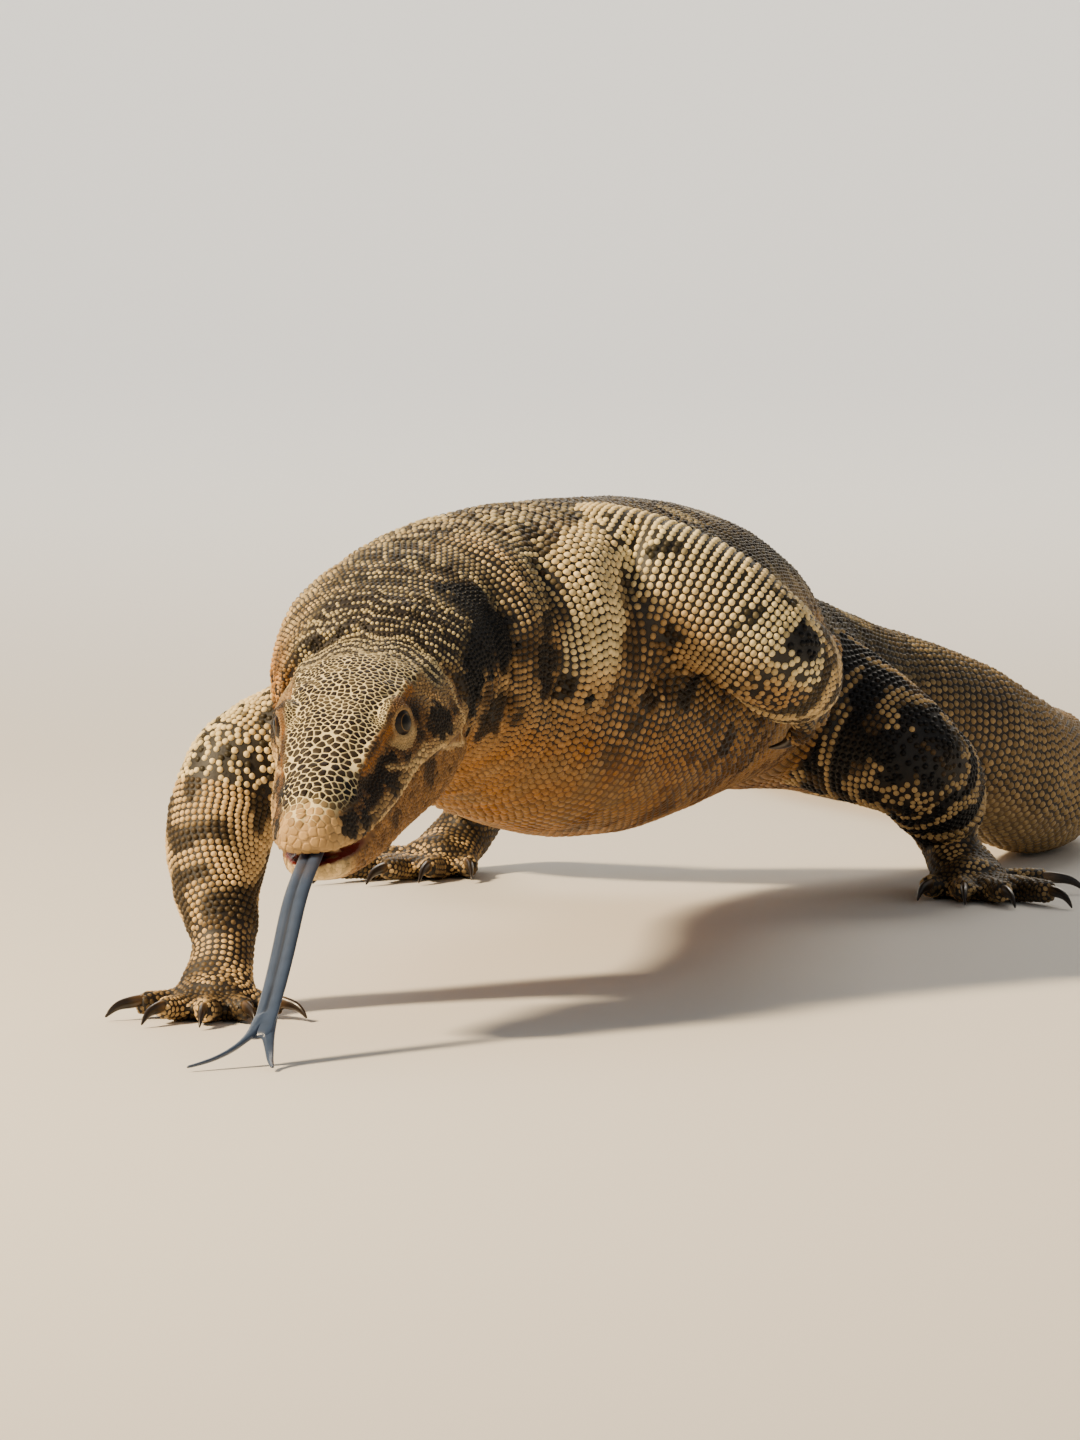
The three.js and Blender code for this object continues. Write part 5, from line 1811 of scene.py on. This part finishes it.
class LIZARD_OT_head_plates(bpy.types.Operator):
    """Plates and grains of the head, each its own shape"""
    bl_idname = "lizard.head_plates"
    bl_label = "Head plates"

    def execute(self, context):
        scales = context.scene.lizard_scales
        rng = np.random.default_rng(scales.seed + 1)
        surface = Surface(bpy.data.objects["skin"].data)
        seeds = plate_seeds(surface, scales, rng)
        landed = [surface.nearest(p) for p in on_head(seeds)]
        points = np.array([hit for hit, _ in landed])
        normals = np.array([normal for _, normal in landed])
        placed, turned = in_head(points), normals @ HEAD_TURN
        pitch = plate_pitch(placed, turned, scales)
        top, front, _, _ = head_zones(placed, turned)
        broad = np.maximum(top, front)
        owner, place = claims(points)
        theta = np.zeros(len(points))
        pale, warm, black, _ = looks_at(points, normals, owner, place, theta)
        around = np.degrees(np.arctan2(placed[:, 2], placed[:, 0]))
        length = np.clip(placed[:, 1], 0, 99) * PATHS["head"].length / 100
        roots = unwrap(np.zeros(len(points), int), length, around)
        tree = tree_of(points)
        ahead = HEAD_TURN[:, 1]
        vertices, faces, spots, looks = [], [], [], []
        draws = rng.random(len(points))
        start_shape = [(math.cos(a), math.sin(a)) for a in np.arange(8) * math.pi / 4 + math.pi / 8]
        for i, point in enumerate(points):
            normal = normals[i]
            along = unit(ahead - normal * (ahead @ normal))
            side = np.cross(along, normal)
            flat = np.column_stack([side, along])
            polygon = np.array(start_shape) * pitch[i] * (0.78 + 0.5 * supraocular(placed[i:i + 1])[0])
            gap = pitch[i] * (0.06 + 0.02 * top[i] - 0.035 * front[i])
            for _, j, apart in tree.find_n(Vector(point), 14):
                if j == i or apart > pitch[i] * 3.2:
                    continue
                towards = (points[j] - point) @ flat
                length = np.linalg.norm(towards)
                if length > 1e-6 and normals[j] @ normal > 0:
                    polygon = clipped(polygon, towards / length, length / 2 - gap)
                if len(polygon) < 3:
                    break
            if len(polygon) < 3:
                continue
            middle = polygon.mean(axis=0)
            height = pitch[i] * (0.30 - 0.17 * broad[i] - 0.04 * front[i])
            rings = ((1.0, -0.22), (0.9, 0.5 * height), (0.62, 0.9 * height)) if broad[i] > 0.5 else (
                (1.0, -0.2), (0.68, 0.75 * height))
            base = len(vertices)
            count = len(polygon)
            for shrink, rise in rings:
                for corner in polygon:
                    at = middle + (corner - middle) * shrink
                    vertices.append(point + flat @ at + normal * rise)
                    spots.append(at / pitch[i])
            vertices.append(point + flat @ middle + normal * height)
            spots.append(middle / pitch[i])
            for ring in range(len(rings) - 1):
                for k in range(count):
                    a, b = base + ring * count + k, base + ring * count + (k + 1) % count
                    faces.append((a, b, b + count, a + count))
            last = base + (len(rings) - 1) * count
            for k in range(count):
                faces.append((last + k, last + (k + 1) % count, len(vertices) - 1))
            looks += [i] * (len(vertices) - base)
        looks = np.array(looks)
        mesh = mesh_from("head_plates", to_row(np.array(vertices)), faces)
        for name, values in (("pale", pale), ("warm", warm), ("black", black), ("vary", draws)):
            set_attribute(mesh, name, "FLOAT", values[looks])
        corner_vertex = np.empty(len(mesh.loops), int)
        mesh.loops.foreach_get("vertex_index", corner_vertex)
        spread = np.clip(np.array(spots), -1, 1) * scales.patch / 2
        layer = mesh.uv_layers.new(name="OFBake")
        layer.data.foreach_set("uv", (roots[looks] + spread)[corner_vertex].astype(np.float32).ravel())
        material = bpy.data.materials["keratin_scales"]
        finish_piece(new_object("head_plates", mesh), material)
        return {"FINISHED"}


TRIANGLE_LIMIT = 170000


class LIZARD_OT_scales(bpy.types.Operator):
    """Scales in rows over neck, trunk, tail, limbs, hands and feet"""
    bl_idname = "lizard.scales"
    bl_label = "Scales"

    def execute(self, context):
        settings = context.scene.lizard_scales
        rng = np.random.default_rng(settings.seed)
        surface = Surface(bpy.data.objects["skin"].data)
        kept = path_rows(surface, settings)
        rows = filled_rows(surface, kept, rng)
        roots = roots_from(rows, rng)
        shapes, tree, material = scale_shapes(), scale_tree(), scale_material()
        for shape in shapes.objects:
            set_attribute(shape.data, "footprint", "FLOAT_VECTOR", coordinates(shape.data) * (1, 1, 0))
        ordered = sorted(shapes.objects, key=lambda shape: shape.name)
        triangles = np.array([sum(len(f.vertices) - 2 for f in shape.data.polygons) for shape in ordered])
        groups = {}
        for number, name in enumerate(PATH_NAMES[1:], start=1):
            key = "_".join(name.split("_")[:2])
            groups.setdefault(key, []).append(number)
        for key, numbers in groups.items():
            chosen = np.flatnonzero(np.isin(roots["owner"], numbers))
            if key == "spine":
                chosen = chosen[np.argsort(roots["place"][chosen], kind="stable")]
            total = np.cumsum(triangles[roots["shape"][chosen]])
            for part in range(int(total[-1] // TRIANGLE_LIMIT) + 1):
                picked = chosen[total // TRIANGLE_LIMIT == part]
                some = {name: values[picked] for name, values in roots.items()}
                scale_piece(f"scales_{key}_{part + 1}", some, shapes, tree, material)
        for shape in list(shapes.objects):
            remove_object(shape)
        bpy.data.collections.remove(shapes)
        return {"FINISHED"}


class LIZARD_OT_stage(bpy.types.Operator):
    """Floor, backdrop, lights and camera"""
    bl_idname = "lizard.stage"
    bl_label = "Stage"

    def execute(self, context):
        sizes = context.scene.lizard_stage
        colours = context.scene.lizard_colours
        self.add_floor(sizes, colours)
        self.add_lights()
        self.add_camera(context, sizes)
        return {"FINISHED"}

    def add_floor(self, sizes, colours):
        """A floor that sweeps up into a backdrop far behind."""
        half = sizes.floor_width / 2
        sweep_at, sweep_radius, top = 3.2, 1.6, 4.5
        profile = [(-6.0, 0.0), (sweep_at, 0.0)]
        for i in range(1, 13):
            a = math.radians(90 * i / 12)
            profile.append((sweep_at + sweep_radius * math.sin(a), sweep_radius * (1 - math.cos(a))))
        profile.append((sweep_at + sweep_radius, top))
        vertices = [(x, y, z) for y, z in profile for x in (-half, half)]
        faces = [(2 * i, 2 * i + 1, 2 * i + 3, 2 * i + 2) for i in range(len(profile) - 1)]
        floor = new_object("floor", mesh_from("floor", vertices, faces))
        shade_smooth(floor.data)
        material, tree = new_material("matt_studio_floor")
        finish_surface(tree, {"Base Color": colours.floor, "Roughness": 0.85})
        floor.data.materials.append(material)

    def add_lights(self):
        """A warm key from the upper left, a soft fill from the right, and an even sky."""
        middle = Vector(to_row((20, 190, 80)))
        for name, offset, size, watts, hex_colour in (
            ("key_light", (-1.75, -0.6, 1.55), 0.35, 150, "#FFE3B8"),
            ("fill_light", (1.5, -2.0, 0.8), 1.6, 5, "#FFF4E6"),
            ("back_light", (0.3, 2.1, 1.6), 1.2, 22, "#FFF3E0"),
        ):
            light = bpy.data.lights.new(name, "AREA")
            light.size = size
            light.energy = watts
            light.color = linear(hex_colour)[:3]
            obj = new_object(name, light)
            obj.location = middle + Vector(offset)
            obj.rotation_euler = (-Vector(offset)).to_track_quat("-Z", "Y").to_euler()
        wash = bpy.data.lights.new("backdrop_light", "AREA")
        wash.size = 3.0
        wash.energy = 210
        obj = new_object("backdrop_light", wash)
        obj.location = (0, 2.2, 3.4)
        obj.rotation_euler = (math.radians(62), 0, 0)
        world = bpy.data.worlds.new("studio_sky")
        world.use_nodes = True
        world.node_tree.nodes["Background"].inputs["Color"].default_value = linear("#E9EBEE")
        world.node_tree.nodes["Background"].inputs["Strength"].default_value = 0.3
        bpy.context.scene.world = world

    def add_camera(self, context, sizes):
        data = bpy.data.cameras.new("camera")
        data.sensor_width = 36.0
        data.lens = sizes.focal_pixels * data.sensor_width / PHOTO_HEIGHT
        data.clip_end = 100.0
        camera = new_object("camera", data)
        target = ORIGIN + np.array((0, 0, sizes.target_height))
        away = np.array((0, -math.cos(sizes.camera_elevation), math.sin(sizes.camera_elevation)))
        camera.location = Vector(target + away * sizes.camera_distance)
        camera.rotation_euler = (math.pi / 2 - sizes.camera_elevation, 0, 0)
        context.scene.camera = camera


class LIZARD_PT_panel(bpy.types.Panel):
    """The lizard's pieces"""
    bl_idname = "LIZARD_PT_panel"
    bl_label = "Water monitor lizard"
    bl_space_type = "VIEW_3D"
    bl_region_type = "UI"
    bl_category = "Lizard"

    def draw(self, context):
        for operator in OPERATORS:
            self.layout.operator(operator.bl_idname)
        for group in GROUPS.values():
            settings = getattr(context.scene, group)
            for name in settings.__annotations__:
                self.layout.prop(settings, name)


OPERATORS = (LIZARD_OT_skin, LIZARD_OT_eyes, LIZARD_OT_tongue, LIZARD_OT_claws,
             LIZARD_OT_scales, LIZARD_OT_head_plates, LIZARD_OT_stage)
GROUPS = {
    LizardSkinSizes: "lizard_skin",
    LizardScaleSizes: "lizard_scales",
    LizardColours: "lizard_colours",
    LizardStageSizes: "lizard_stage",
}


def register():
    for group, name in GROUPS.items():
        bpy.utils.register_class(group)
        setattr(bpy.types.Scene, name, bpy.props.PointerProperty(type=group))
    for operator in OPERATORS:
        bpy.utils.register_class(operator)
    bpy.utils.register_class(LIZARD_PT_panel)


def unregister():
    bpy.utils.unregister_class(LIZARD_PT_panel)
    for operator in reversed(OPERATORS):
        bpy.utils.unregister_class(operator)
    for group, name in GROUPS.items():
        delattr(bpy.types.Scene, name)
        bpy.utils.unregister_class(group)


def main():
    register()
    bpy.ops.lizard.skin()
    bpy.ops.lizard.eyes()
    bpy.ops.lizard.tongue()
    bpy.ops.lizard.claws()
    bpy.ops.lizard.scales()
    bpy.ops.lizard.head_plates()
    bpy.ops.lizard.stage()


if __name__ == "__main__":
    main()
